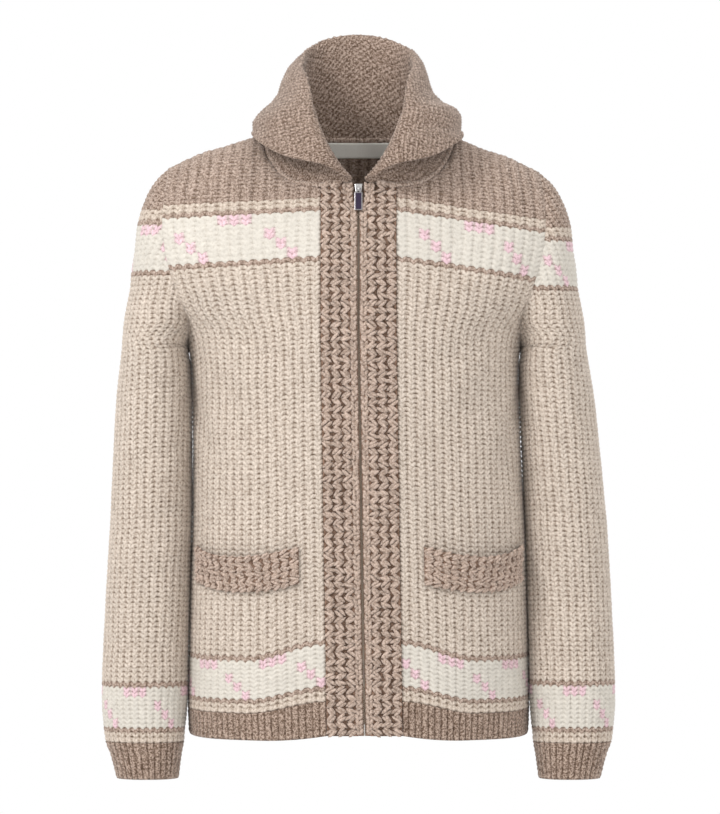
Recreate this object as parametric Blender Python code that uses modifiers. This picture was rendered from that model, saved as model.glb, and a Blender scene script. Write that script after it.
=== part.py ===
"""A shawl-collar zip cardigan in chunky ribbed knit, filled out as if worn, with nobody in it.

Units are metres, +Z up, the front faces -Y and the wearer's left is +X. The origin is the
middle of the neck's base, level with the highest points of the two shoulder seams.
Every cloth piece is a hollow wall: its outer points follow the garment's cut and are pushed
in between the ribs, its inside is plain.
"""
import math

import bmesh
import bpy
import numpy as np
from mathutils import Matrix

OBJECT = "zip_cardigan"

# Knitted cloth
WALL = 0.0042
RIB_RELIEF = 0.0020
FINE_RELIEF = 0.0012
SEAM_GAP = 0.00032
ARMHOLE_GAP = 0.0006
COARSE = 4

# Ribs of each piece
FRONT_RIBS_UP = 14
FRONT_RIBS_SIDE = 6
BACK_RIBS_UP = 18
BACK_RIBS_SIDE = 6
SLEEVE_RIBS = 34
HEM_RIBS_FRONT = 28
HEM_RIBS_BACK = 64
CUFF_RIBS = 34

# Levels
HEM_SEAM = -0.6620
HEM_BOTTOM = -0.6950
HEM_RISE_AT_ZIP = 0.0065
HEM_RISE_AT_SIDE = 0.0040
CUFF_SEAM = -0.7010
CUFF_BOTTOM = -0.7430
UNDERARM = -0.2500
UNDERARM_X = 0.1905
TRUNK_WIDEST = -0.2620
CAP_START = -0.2760
SHOULDER_TIP = -0.0430
SHOULDER_TIP_X = 0.2130
NECK_POINT_X = 0.1115

# Front closing
BAND_EDGE = 0.0425
CLOSING_HALF_GAP = 0.0016
CLOSING_SWAY = 0.0070
CLOSING_SWAY_FROM = -0.2300
BAND_TOP_INNER = -0.0660
BAND_TOP_OUTER = -0.0695

# The trunk's section at each level, at the crests of the ribs
TRUNK = {
    "z": (-0.705, -0.660, -0.600, -0.500, -0.425, -0.310, -0.262, -0.223, -0.150, -0.100, -0.060, -0.007),
    "half_width": (0.1945, 0.1965, 0.1955, 0.1930, 0.1905, 0.1875, 0.1885, 0.20, 0.20, 0.20, 0.20, 0.20),
    "front_depth": (0.1230, 0.1275, 0.1290, 0.1280, 0.1275, 0.1300, 0.1300, 0.1280, 0.1190, 0.1095, 0.0990, 0.075),
    "back_depth": (0.1190, 0.1230, 0.1240, 0.1215, 0.1205, 0.1245, 0.1260, 0.1265, 0.1220, 0.1130, 0.1010, 0.080),
}
TRUNK_POWER = 2.2

# The arm's ring at each level; above the underarm only the part outside the seam is cloth
ARM = {
    "z": (-0.745, -0.715, -0.700, -0.650, -0.550, -0.425, -0.310, -0.276, -0.250, -0.223,
          -0.200, -0.170, -0.140, -0.106, -0.076, -0.058, -0.048, -0.043),
    "centre_x": (0.2415, 0.2435, 0.2450, 0.2459, 0.2432, 0.2377, 0.2319, 0.2302, 0.22875, 0.2235,
                 0.2170, 0.2120, 0.2160, 0.2185, 0.2170, 0.2145, 0.2133, 0.2130),
    "half_width": (0.0355, 0.0415, 0.0455, 0.0483, 0.0477, 0.0459, 0.0431, 0.0403, 0.03825, 0.0415,
                   0.0440, 0.0445, 0.0365, 0.0300, 0.0215, 0.0130, 0.0068, 0.0012),
    "centre_y": (-0.020, -0.019, -0.018, -0.016, -0.011, -0.005, -0.001, 0.0, 0.0, 0.0,
                 0.0, 0.0, 0.0, 0.0, 0.0, 0.0, 0.0, 0.0),
    "half_depth": (0.0360, 0.0415, 0.0445, 0.0470, 0.0520, 0.0575, 0.0665, 0.0715, 0.0750, 0.0760,
                   0.0740, 0.0690, 0.0620, 0.0500, 0.0350, 0.0230, 0.0115, 0.0012),
    "seam_x": (0.0, 0.0, 0.0, 0.0, 0.0, 0.0, 0.0, 0.0, 0.1905, 0.1890,
               0.1965, 0.2075, 0.2150, 0.2185, 0.2170, 0.2145, 0.2133, 0.2130),
    "seam_column": (0.0, 0.0, 0.0, 0.0, 0.0, 0.0, 0.0, 0.0, 0.0, 0.125,
                    0.175, 0.225, 0.275, 0.335, 0.385, 0.425, 0.460, 0.500),
}
ARM_POWER = 2.2
ARMHOLE_SEARCH_TOP = -0.1700
ARMHOLE_MIDDLE = -0.1465
ARMHOLE_HALF_HEIGHT = 0.1035
ARMHOLE_HALF_DEPTH = 0.0720

# Top edges by their distance from the middle: neckline first, then the shoulder seam
FRONT_TOP = {
    "x": (0.0425, 0.0720, 0.0905, 0.1040, 0.1120, 0.1230, 0.1500, 0.1750, 0.1950, 0.2130),
    "y": (-0.0960, -0.0800, -0.0600, -0.0330, 0.0, 0.0, 0.0, 0.0, 0.0, 0.0),
    "z": (-0.0695, -0.0640, -0.0510, -0.0300, -0.0060, -0.0085, -0.0175, -0.0250, -0.0340, -0.0430),
}
BACK_TOP = {
    "x": (0.0, 0.0400, 0.0750, 0.1000, 0.1120, 0.1230, 0.1500, 0.1750, 0.1950, 0.2130),
    "y": (0.0800, 0.0750, 0.0560, 0.0260, 0.0, 0.0, 0.0, 0.0, 0.0, 0.0),
    "z": (-0.0080, -0.0080, -0.0075, -0.0065, -0.0060, -0.0085, -0.0175, -0.0250, -0.0340, -0.0430),
}

# Collar stations from the zip round to the middle of the back, on the wearer's left
COLLAR = {
    "seam_x": (0.0215, 0.0430, 0.0690, 0.0880, 0.1020, 0.1085, 0.1000, 0.0750, 0.0400, 0.0),
    "seam_y": (-0.1010, -0.0950, -0.0780, -0.0580, -0.0310, 0.0, 0.0250, 0.0540, 0.0730, 0.0780),
    "seam_z": (-0.0643, -0.0670, -0.0640, -0.0513, -0.0304, -0.0062, -0.0057, -0.0074, -0.0076, -0.0079),
    "roll_x": (0.0075, 0.0205, 0.0335, 0.0440, 0.0530, 0.0590, 0.0640, 0.0610, 0.0400, 0.0),
    "roll_y": (-0.1080, -0.1090, -0.1040, -0.0930, -0.0740, -0.0390, 0.0020, 0.0480, 0.0830, 0.0950),
    "roll_z": (-0.0620, -0.0490, -0.0290, -0.0030, 0.0270, 0.0580, 0.0820, 0.1020, 0.1130, 0.1160),
    "edge_x": (0.0200, 0.0350, 0.0520, 0.0770, 0.1020, 0.1205, 0.1200, 0.0960, 0.0520, 0.0),
    "edge_y": (-0.1180, -0.1240, -0.1230, -0.1110, -0.0870, -0.0430, 0.0130, 0.0720, 0.1100, 0.1200),
    "edge_z": (-0.0575, -0.0480, -0.0430, -0.0375, -0.0255, -0.0100, -0.0040, -0.0080, -0.0120, -0.0130),
}
COLLAR_WALL = 0.0050
COLLAR_ARCH_POWER = 1.75
COLLAR_STATIONS = 15
COLLAR_POINTS = 13

# Front band across its width: share of the way from the zip to the seam, and how far it stands out
BAND = {
    "across": (0.0, 0.04, 0.12, 0.19, 0.225, 0.27, 0.60, 0.96, 1.0),
    "proud": (-0.0012, 0.0002, 0.0008, 0.0002, -0.0010, 0.0012, 0.0016, 0.0012, -0.0002),
}
ROLLED_EDGE = 0.2
BAND_BOTTOM = HEM_BOTTOM + HEM_RISE_AT_ZIP
BAND_RISES = (0.0, 0.09, 0.20, 0.32, 0.44, 0.56, 0.67, 0.77, 0.86, 0.925, 0.958, 0.971, 0.985, 1.0)
SLIDER_ROOM = 0.0046
SLIDER_ROOM_FROM = -0.0910
SLIDER_ROOM_TO = -0.0830

# Zip
TAPE_HIDDEN_WIDTH = 0.0082
TAPE_THICKNESS = 0.0008
EDGE_THINNER = 0.0008
TOOTH_LINE_WIDTH = 0.0013
TOOTH_LINE_PROUD = 0.0014
ZIP_HALF_CLEARANCE = 0.00016
SLIDER_TOP = -0.0665
SLIDER_LENGTH = 0.0125
SLIDER_WIDTH = 0.0095
SLIDER_THICKNESS = 0.0036
SLIDER_TAPER = 0.62
SLIDER_ROUND = 0.0009
SLIDER_CLEARANCE = 0.0006
SLIDER_SET_BACK = 0.0006
BRIDGE_WIDTH = 0.0022
BRIDGE_RADIUS = 0.0036
BRIDGE_WIRE = 0.0008
PIN_RADIUS = 0.0006
PIN_HEIGHT = 0.0021
TAB_WIDTH = 0.0092
TAB_LENGTH = 0.0215
TAB_THICKNESS = 0.0018
TAB_FRAME = 0.0012
TAB_ARM = 0.0042
ARM_HALF_SPREAD = 0.0028
ARM_THICKNESS = 0.0010

# Pocket welts
WELT_START = 0.130
WELT_END = 0.780
WELT_TOP = -0.4760
WELT_BOTTOM = -0.5165
WELT_SAG = 0.0120
WELT_WALL = 0.0040
WELT_MOUTH = 0.0105
WELT_COLUMNS = 12
WELT_ROWS = 5

# Neck label
LABEL_HALF_WIDTH = 0.0390
LABEL_TOP = -0.0110
LABEL_HEIGHT = 0.0175
LABEL_THICKNESS = 0.0007
LABEL_COLUMNS = 8
LABEL_CLEARANCE = 0.0014

# Finishes: colour, roughness, metallic
FINISH = {
    "rib_knit": ((0.62, 0.52, 0.43), 0.92, 0.0),
    "dark_knit": ((0.36, 0.27, 0.21), 0.92, 0.0),
    "zip_tape": ((0.30, 0.24, 0.20), 0.80, 0.0),
    "zip_metal": ((0.72, 0.71, 0.69), 0.28, 1.0),
    "pull_inlay": ((0.06, 0.045, 0.10), 0.40, 0.0),
    "label": ((0.78, 0.74, 0.66), 0.75, 0.0),
}


def read(table, key, value, column):
    """Read a named column of a table at a value, along a curve without overshoot."""
    knots = np.array(table[key], float)
    heights = np.array(table[column], float)
    steps = np.diff(knots)
    slopes = np.diff(heights) / steps
    tangent = np.zeros(len(knots))
    same_way = slopes[:-1] * slopes[1:] > 0
    blend = 2 * slopes[:-1] * slopes[1:] / np.where(same_way, slopes[:-1] + slopes[1:], 1)
    tangent[1:-1] = np.where(same_way, blend, 0)
    tangent[0] = slopes[0]
    tangent[-1] = slopes[-1]
    value = np.clip(np.asarray(value, float), knots[0], knots[-1])
    place = np.clip(np.searchsorted(knots, value) - 1, 0, len(steps) - 1)
    share = (value - knots[place]) / steps[place]
    rise = steps[place]
    return (heights[place] * (1 + 2 * share) * (1 - share) ** 2
            + heights[place + 1] * share ** 2 * (3 - 2 * share)
            + tangent[place] * rise * share * (1 - share) ** 2
            - tangent[place + 1] * rise * share ** 2 * (1 - share))


def along(points, share):
    """The point at a share of a line's length."""
    steps = np.linalg.norm(np.diff(points, axis=0), axis=1)
    length = np.concatenate([[0], np.cumsum(steps)])
    wanted = np.asarray(share) * length[-1]
    return np.stack([np.interp(wanted, length, points[:, axis]) for axis in range(3)], axis=-1)


def power_cos(angle, power):
    """The cosine of a rounded-square ring."""
    return np.sign(np.cos(angle)) * np.abs(np.cos(angle)) ** (2 / power)


def power_sin(angle, power):
    """The sine of a rounded-square ring."""
    return np.abs(np.sin(angle)) ** (2 / power)


def arm_value(column, z):
    return read(ARM, "z", z, column)


def armhole_point(z):
    """The front half of the armhole seam at a level, on the wearer's left."""
    reach = np.clip((arm_value("centre_x", z) - arm_value("seam_x", z)) / arm_value("half_width", z), 0, 1)
    y = -arm_value("half_depth", z) * (1 - reach ** ARM_POWER) ** (1 / ARM_POWER)
    return np.array([arm_value("seam_x", z), y, z])


def trunk_half_width(z, depth):
    """The section's half width; above the underarm it is the one that meets the armhole seam."""
    if z <= UNDERARM:
        if z < TRUNK_WIDEST:
            return float(read(TRUNK, "z", z, "half_width"))
        widest = read(TRUNK, "z", TRUNK_WIDEST, "half_width")
        return float(np.interp(z, (TRUNK_WIDEST, UNDERARM), (widest, UNDERARM_X)))
    x, y, _ = armhole_point(z)
    return x / (1 - min(0.95, abs(y) / depth) ** TRUNK_POWER) ** (1 / TRUNK_POWER)


def trunk_section(z, depth, start_x, samples=90):
    """A quarter of the trunk's section, from start_x round to the side seam, in the front's sign."""
    half = trunk_half_width(z, depth)
    start = math.asin(min(1, start_x / half) ** (TRUNK_POWER / 2))
    angle = np.linspace(start, math.pi / 2, samples)
    x = half * power_sin(angle, TRUNK_POWER)
    y = -depth * np.maximum(0, np.cos(angle)) ** (2 / TRUNK_POWER)
    return np.stack([x, y, np.full(samples, z)], axis=1)


def seam_share(z, side):
    """How far round a section the armhole seam cuts it, as a share of the way to the side seam."""
    section = trunk_section(z, side["depth"](z), side["start"](z))
    length = np.concatenate([[0], np.cumsum(np.linalg.norm(np.diff(section, axis=0), axis=1))])
    seam_y = armhole_point(z)[1]
    return float(np.interp(seam_y, section[:, 1], length / length[-1]))


def make_side(name, depth_column, start, top_table, up_ribs, side_ribs):
    """What differs between the front and the back: depth, start, top edge and ribs."""
    side = {
        "name": name,
        "depth": lambda z: float(read(TRUNK, "z", z, depth_column)),
        "start": start,
        "top": top_table,
        "up": up_ribs,
        "side": side_ribs,
    }
    share = up_ribs / (up_ribs + side_ribs)
    levels = np.linspace(UNDERARM, ARMHOLE_SEARCH_TOP, 60)
    shares = np.array([seam_share(z, side) for z in levels])
    side["share"] = share
    side["join"] = float(np.interp(-share, -shares, levels))
    side["seam_levels"] = levels
    side["seam_shares"] = shares
    return side


def closing_x(z):
    """The zip's line sways to the wearer's left towards the hem."""
    return CLOSING_SWAY * max(0.0, CLOSING_SWAY_FROM - z) / (CLOSING_SWAY_FROM - HEM_BOTTOM)


def closing_half_gap(z):
    """The bands' edges nearly meet over the zip, and part round the slider at the top."""
    share = min(1.0, max(0.0, (z - SLIDER_ROOM_FROM) / (SLIDER_ROOM_TO - SLIDER_ROOM_FROM)))
    return CLOSING_HALF_GAP + SLIDER_ROOM * share


def lower_points(side, shares, z, mirror):
    """Points of one level below the join, at shares of the way round to the side seam."""
    start = side["start"](z) - mirror * closing_x(z) * (-1 if side["name"] == "front" else 0)
    section = trunk_section(z, side["depth"](z), start)
    return along(section, shares)


def column_top(side, share):
    """The level at which a side column ends on the armhole seam."""
    return float(np.interp(-share, -side["seam_shares"], side["seam_levels"]))


def upper_point(side, share, rise, base):
    """A point between the join, the middle, the armhole seam and the top edge."""
    join = side["join"]
    across = share / side["share"]
    round_power = 1.15 + 0.75 * min(1.0, across * 1.4)
    hold = (1 - rise ** round_power) ** (1 / round_power)
    top = side["top"]
    start_x = base[0][0]
    top_x = start_x + across * (SHOULDER_TIP_X - start_x)
    top_edge = np.array([top_x, float(read(top, "x", top_x, "y")), float(read(top, "x", top_x, "z"))])
    if side["name"] == "back":
        top_edge[1] = -top_edge[1]
    first_top = np.array([start_x, float(read(top, "x", start_x, "y")), float(read(top, "x", start_x, "z"))])
    if side["name"] == "back":
        first_top[1] = -first_top[1]
    middle_z = join + rise * (first_top[2] - join)
    keep = base[0][1] / -side["depth"](join)
    middle_y = -side["depth"](middle_z) * keep
    middle_y += (first_top[1] + side["depth"](first_top[2]) * keep) * rise ** 4
    middle = np.array([start_x, middle_y, middle_z])
    seam_z = join + rise * (SHOULDER_TIP - join)
    seam = armhole_point(seam_z)
    last_top = np.array([SHOULDER_TIP_X, 0.0, SHOULDER_TIP])
    weights = np.array([1 - rise, hold, 1 - rise])
    point = weights * base[1] + (1 - weights) * top_edge
    point = point + (1 - across) * middle + across * seam
    corners = (1 - across) * (weights * base[0] + (1 - weights) * first_top)
    corners = corners + across * (weights * base[2] + (1 - weights) * last_top)
    return point - corners


def panel_grid(side, low_shares, low_rows, up_rows, mirror):
    """The crest points of half a panel: low rows over all columns, upper rows over the first ones."""
    up_columns = int(np.sum(low_shares <= side["share"] + 1e-9))
    grid = np.zeros((len(low_rows) + len(up_rows), len(low_shares), 3))
    for column, share in enumerate(low_shares):
        top = side["join"] if share <= side["share"] + 1e-9 else column_top(side, share)
        for row, rise in enumerate(low_rows):
            z = HEM_SEAM + rise * (top - HEM_SEAM)
            grid[row, column] = lower_points(side, [share], z, mirror)[0]
    ends = lower_points(side, [0, side["share"]], side["join"], mirror)
    for column in range(up_columns):
        for row, rise in enumerate(up_rows):
            base = (ends[0], grid[len(low_rows) - 1, column], ends[1])
            grid[len(low_rows) + row, column] = upper_point(side, low_shares[column], rise, base)
    for row in range(len(low_rows), len(grid)):
        grid[row, up_columns:] = grid[row, up_columns - 1]
    return grid, up_columns


def normals_of(grid, ring=False):
    """Unit normals of a grid of points, pointing to the grid's outer side."""
    if ring:
        across = np.roll(grid, -1, axis=1) - np.roll(grid, 1, axis=1)
    else:
        across = np.gradient(grid, axis=1)
    up = np.gradient(grid, axis=0)
    normal = np.cross(across, up)
    size = np.linalg.norm(normal, axis=2, keepdims=True)
    return normal / np.where(size > 1e-12, size, 1)


def unit(vector):
    return vector / np.linalg.norm(vector)


def armhole_normal(point):
    """The armhole loop's outward direction, the same for body and sleeve, so the seams' walls agree."""
    return unit(np.array([0.0, point[1] / ARMHOLE_HALF_DEPTH ** 2,
                          (point[2] - ARMHOLE_MIDDLE) / ARMHOLE_HALF_HEIGHT ** 2]))


def without(normal, axis):
    """A normal turned into a seam's plane."""
    flat = normal.copy()
    flat[axis] = 0
    return unit(flat)


def step_back(edge, neighbour):
    """Draw an edge row or column back from its seam by half the seam's gap."""
    pull = neighbour - edge
    length = np.linalg.norm(pull, axis=-1, keepdims=True)
    return edge + pull / np.where(length > 1e-9, length, 1) * SEAM_GAP / 2


def rib_wave(columns, first_is_valley=True):
    """0 on crests and 1 in valleys, turn about."""
    wave = np.zeros(columns)
    wave[0 if first_is_valley else 1::2] = 1
    return wave


def material(name):
    """A Principled material with the finish's colour, roughness and metallic value."""
    found = bpy.data.materials.get(name)
    if found:
        return found
    colour, roughness, metallic = FINISH[name]
    made = bpy.data.materials.new(name)
    made.use_nodes = True
    shader = made.node_tree.nodes["Principled BSDF"]
    shader.inputs["Base Color"].default_value = (*colour, 1)
    shader.inputs["Roughness"].default_value = roughness
    shader.inputs["Metallic"].default_value = metallic
    made.diffuse_color = (*colour, 1)
    return made


def add_object(name, mesh, finish, parts):
    """Link a mesh as a named piece with its own material."""
    piece = bpy.data.objects.new(name, mesh)
    mesh.materials.clear()
    mesh.materials.append(material(finish).copy())
    mesh.materials[0].name = name + "_" + finish
    parts.objects.link(piece)
    return piece


def wall(name, crest, normal, relief, thickness, finish, parts, last_full_row=None, up_span=None, ring=False):
    """A closed wall over a grid: ribbed outer points, and a plain inside on every fourth column.

    Above last_full_row only the cells between the two columns of up_span are cloth.
    """
    rows, columns = crest.shape[:2]
    outer = crest - normal * relief[..., None]
    inner = crest - normal * thickness
    cells = columns if ring else columns - 1
    there = np.ones((rows - 1, cells), bool)
    if up_span:
        there[last_full_row:, :] = False
        there[last_full_row:, up_span[0]:up_span[1]] = True
    bm = bmesh.new()
    made = {}

    def vertex(kind, row, column):
        key = (kind, row, column % columns)
        if key not in made:
            source = outer if kind == "out" else inner
            made[key] = bm.verts.new(source[row, column % columns])
        return made[key]

    def face(*corners):
        bm.faces.new([vertex(*corner) for corner in corners])

    def is_there(row, column):
        if ring:
            column %= cells
        return 0 <= row < rows - 1 and 0 <= column < cells and there[row, column]

    for row in range(rows - 1):
        for column in range(cells):
            if there[row, column]:
                face(("out", row, column), ("out", row, column + 1),
                     ("out", row + 1, column + 1), ("out", row + 1, column))
        for column in range(0, cells, COARSE):
            if not there[row, column]:
                continue
            end = column + COARSE
            face(("in", row, column), ("in", row + 1, column), ("in", row + 1, end), ("in", row, end))
            for edge in (column, end):
                if is_there(row, edge - 1) != is_there(row, edge):
                    corners = [("out", row, edge), ("out", row + 1, edge), ("in", row + 1, edge), ("in", row, edge)]
                    face(*corners)
            for level, beyond in ((row, row - 1), (row + 1, row + 1)):
                if is_there(beyond, column):
                    continue
                half = column + COARSE // 2
                for start in range(column, half):
                    face(("in", level, column), ("out", level, start), ("out", level, start + 1))
                face(("in", level, column), ("out", level, half), ("in", level, end))
                for start in range(half, end):
                    face(("in", level, end), ("out", level, start), ("out", level, start + 1))
    bmesh.ops.recalc_face_normals(bm, faces=bm.faces)
    mesh = bpy.data.meshes.new(name)
    bm.to_mesh(mesh)
    bm.free()
    return add_object(name, mesh, finish, parts)


def mirror_x(grid, side):
    """Turn a grid drawn on the wearer's left to the given side."""
    turned = grid.copy()
    turned[..., 0] *= side
    return turned


def outward(grid, normal, centre):
    """Flip normals so that they point away from the garment's middle."""
    facing = np.sum(normal * (grid - centre), axis=2)
    return normal if np.median(facing) > 0 else -normal


FRONT = make_side("front", "front_depth", lambda z: BAND_EDGE, FRONT_TOP, FRONT_RIBS_UP, FRONT_RIBS_SIDE)
BACK = make_side("back", "back_depth", lambda z: 0.0, BACK_TOP, BACK_RIBS_UP, BACK_RIBS_SIDE)

LOW_ROWS = np.array((0.0, 0.22, 0.45, 0.66, 0.84, 0.95, 1.0))
UP_ROWS = np.array((0.10, 0.30, 0.52, 0.72, 0.88, 0.965, 1.0))


def front_panel(side_sign, parts):
    """One front: from the band's seam to the side seam, up to the armhole, shoulder and neckline."""
    ribs = FRONT_RIBS_UP + FRONT_RIBS_SIDE
    shares = np.arange(2 * ribs + 1) / (2 * ribs)
    grid, up_columns = panel_grid(FRONT, shares, LOW_ROWS, UP_ROWS, side_sign)
    low = len(LOW_ROWS)
    normal = outward(grid, normals_of(grid), np.array([0, 0, -0.35]))
    normal[low:, up_columns - 1:] = normal[low:, up_columns - 2:up_columns - 1]
    normal[0] = [without(n, 2) for n in normal[0]]
    normal[:, 0] = [without(n, 0) for n in normal[:, 0]]
    normal[:low, -1] = [without(n, 1) for n in normal[:low, -1]]
    for column in range(up_columns):
        if grid[-1, column, 0] > NECK_POINT_X:
            normal[-1, column] = without(normal[-1, column], 1)
    seam_cells = [(low - 1, column) for column in range(up_columns - 1, len(shares))]
    seam_cells += [(row, up_columns - 1) for row in range(low, len(grid))]
    for row, column in seam_cells:
        normal[row, column] = armhole_normal(grid[row, column])
    drawn = grid.copy()
    drawn[:, 0] = step_back(grid[:, 0], grid[:, 1])
    drawn[:low, -1] = step_back(grid[:low, -1], grid[:low, -2])
    drawn[0] = step_back(drawn[0], grid[1])
    drawn[-1, :up_columns] = step_back(drawn[-1, :up_columns], grid[-2, :up_columns])
    for row, column in seam_cells:
        drawn[row, column, 0] -= ARMHOLE_GAP / 2
    relief = np.tile(rib_wave(len(shares)) * RIB_RELIEF, (len(grid), 1))
    name = "front_left" if side_sign > 0 else "front_right"
    return wall(name, mirror_x(drawn, side_sign), mirror_x(normal, side_sign), relief, WALL, "rib_knit", parts,
                low - 1, (0, up_columns - 1))


def back_panel(parts):
    """The back: both halves in one piece."""
    ribs = BACK_RIBS_UP + BACK_RIBS_SIDE
    shares = np.arange(2 * ribs + 1) / (2 * ribs)
    half, up_columns = panel_grid(BACK, shares, LOW_ROWS, UP_ROWS, 1)
    low = len(LOW_ROWS)
    half[..., 1] *= -1
    grid = np.concatenate([mirror_x(half[:, :0:-1], -1), half], axis=1)
    normal = outward(grid, normals_of(grid), np.array([0, 0, -0.35]))
    middle = len(shares) - 1
    first = middle - (up_columns - 1)
    last = middle + (up_columns - 1)
    normal[low:, last] = normal[low:, last - 1]
    normal[low:, first] = normal[low:, first + 1]
    normal[0] = [without(n, 2) for n in normal[0]]
    for column in (0, grid.shape[1] - 1):
        normal[:low, column] = [without(n, 1) for n in normal[:low, column]]
    for column in range(first, last + 1):
        if abs(grid[-1, column, 0]) > NECK_POINT_X:
            normal[-1, column] = without(normal[-1, column], 1)
    left_cells = [(low - 1, column) for column in range(last, grid.shape[1])]
    left_cells += [(row, last) for row in range(low, len(grid))]
    right_cells = [(row, 2 * middle - column) for row, column in left_cells]
    for row, column in left_cells + right_cells:
        normal[row, column] = armhole_normal(grid[row, column])
    drawn = grid.copy()
    drawn[:low, 0] = step_back(grid[:low, 0], grid[:low, 1])
    drawn[:low, -1] = step_back(grid[:low, -1], grid[:low, -2])
    drawn[0] = step_back(drawn[0], grid[1])
    span = slice(first, last + 1)
    drawn[-1, span] = step_back(drawn[-1, span], grid[-2, span])
    for row, column in left_cells:
        drawn[row, column, 0] -= ARMHOLE_GAP / 2
    for row, column in right_cells:
        drawn[row, column, 0] += ARMHOLE_GAP / 2
    relief = np.tile(rib_wave(grid.shape[1]) * RIB_RELIEF, (len(grid), 1))
    return wall("back", drawn, normal, relief, WALL, "rib_knit", parts, low - 1, (first, last))


def hem_bottom(share):
    """The hem rises a little to the zip and to the side seam."""
    to_zip = max(0.0, 1 - share / 0.35)
    to_side = max(0.0, (share - 0.6) / 0.4)
    return HEM_BOTTOM + HEM_RISE_AT_ZIP * to_zip ** 2 + HEM_RISE_AT_SIDE * to_side ** 2


def hem_piece(name, side, ribs, side_sign, parts):
    """A strip of fine rib under a front, or under the whole back when side_sign is 0."""
    shares = np.arange(2 * ribs + 1) / (2 * ribs)
    rises = (0.0, 1.0)
    grid = np.zeros((len(rises), len(shares), 3))
    for column, share in enumerate(shares):
        for row, rise in enumerate(rises):
            bottom = hem_bottom(share if side_sign else 1.0)
            z = bottom + rise * (HEM_SEAM - bottom)
            grid[row, column] = lower_points(side, [share], z, side_sign)[0]
    if side_sign == 0:
        grid[..., 1] *= -1
        grid = np.concatenate([mirror_x(grid[:, :0:-1], -1), grid], axis=1)
    else:
        grid = mirror_x(grid, side_sign)
    normal = outward(grid, normals_of(grid), np.array([0, 0, -0.68]))
    normal[0] = [without(n, 2) for n in normal[0]]
    normal[-1] = [without(n, 2) for n in normal[-1]]
    for column in (0, -1):
        is_side_seam = column == -1 or side_sign == 0
        normal[:, column] = [without(n, 1 if is_side_seam else 0) for n in normal[:, column]]
    drawn = grid.copy()
    drawn[:, 0] = step_back(grid[:, 0], grid[:, 1])
    drawn[:, -1] = step_back(grid[:, -1], grid[:, -2])
    drawn[-1] = step_back(drawn[-1], grid[-2])
    relief = np.tile(rib_wave(grid.shape[1]) * FINE_RELIEF, (len(grid), 1))
    return wall(name, drawn, normal, relief, WALL, "dark_knit", parts)


def arm_half(z, shares):
    """Front-half points of the arm's ring at a level, from the seam (0) to the outermost line (1)."""
    centre_x = arm_value("centre_x", z)
    half_width = arm_value("half_width", z)
    start = 0.0
    if z > UNDERARM:
        reach = np.clip((centre_x - arm_value("seam_x", z)) / half_width, 0, 1)
        start = math.acos(float(reach) ** (ARM_POWER / 2))
    angle = np.linspace(start, math.pi, 90)
    ring = np.stack([
        centre_x - half_width * power_cos(angle, ARM_POWER),
        -arm_value("half_depth", z) * power_sin(angle, ARM_POWER),
        np.full(90, z)], axis=1)
    return along(ring, shares)


def sleeve_point(column, z):
    """A crest point of the sleeve: column runs 0 underarm, 0.25 front, 0.5 outermost, 0.75 back."""
    front = column <= 0.5
    from_seam = column if front else 1 - column
    ended = float(arm_value("seam_column", z))
    share = np.clip((from_seam - ended) / max(1e-6, 0.5 - ended), 0, 1)
    point = arm_half(z, [share])[0]
    if not front:
        point[1] *= -1
    point[1] += float(arm_value("centre_y", z))
    return point


def sleeve_top(column):
    """The level at which a sleeve column ends on the armhole seam."""
    levels = np.linspace(UNDERARM, SHOULDER_TIP, 200)
    ended = arm_value("seam_column", levels)
    return float(np.interp(min(column, 1 - column), ended, levels))


def sleeve(side_sign, parts):
    """One sleeve: straight rows up to the cap, then rows that shrink to the armhole seam."""
    columns = 2 * SLEEVE_RIBS
    low_levels = (CUFF_SEAM, -0.640, -0.560, -0.470, -0.380, -0.310, CAP_START)
    cap_rises = (0.25, 0.50, 0.70, 0.86, 0.96, 1.0)
    grid = np.zeros((len(low_levels) + len(cap_rises), columns, 3))
    for index in range(columns):
        column = index / columns
        top = sleeve_top(column)
        for row, z in enumerate(low_levels):
            grid[row, index] = sleeve_point(column, z)
        for row, rise in enumerate(cap_rises):
            z = CAP_START + rise * (top - CAP_START)
            grid[len(low_levels) + row, index] = sleeve_point(column, z)
    normal = normals_of(grid, ring=True)
    centre = np.array([0.225, 0, 0])
    flat = grid - centre
    flat[..., 2] = 0
    if np.median(np.sum(normal * flat, axis=2)) < 0:
        normal = -normal
    normal[0] = [without(n, 2) for n in normal[0]]
    normal[-1] = [armhole_normal(point) for point in grid[-1]]
    drawn = grid.copy()
    drawn[0] = step_back(grid[0], grid[1])
    drawn[-1, :, 0] += ARMHOLE_GAP / 2
    relief = np.tile(rib_wave(columns) * RIB_RELIEF, (len(grid), 1))
    name = "sleeve_left" if side_sign > 0 else "sleeve_right"
    return wall(name, mirror_x(drawn, side_sign), mirror_x(normal, side_sign), relief, WALL, "rib_knit", parts,
                ring=True)


def cuff(side_sign, parts):
    """The fine-ribbed cuff below the sleeve."""
    columns = 2 * CUFF_RIBS
    levels = (CUFF_BOTTOM, CUFF_SEAM)
    grid = np.array([[sleeve_point(index / columns, z) for index in range(columns)] for z in levels])
    normal = normals_of(grid, ring=True)
    flat = grid - np.array([0.243, -0.019, 0])
    flat[..., 2] = 0
    if np.median(np.sum(normal * flat, axis=2)) < 0:
        normal = -normal
    normal[0] = [without(n, 2) for n in normal[0]]
    normal[-1] = [without(n, 2) for n in normal[-1]]
    grid[-1] = step_back(grid[-1], grid[-2])
    relief = np.tile(rib_wave(columns) * FINE_RELIEF, (len(grid), 1))
    name = "cuff_left" if side_sign > 0 else "cuff_right"
    return wall(name, mirror_x(grid, side_sign), mirror_x(normal, side_sign), relief, WALL, "dark_knit", parts,
                ring=True)


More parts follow.
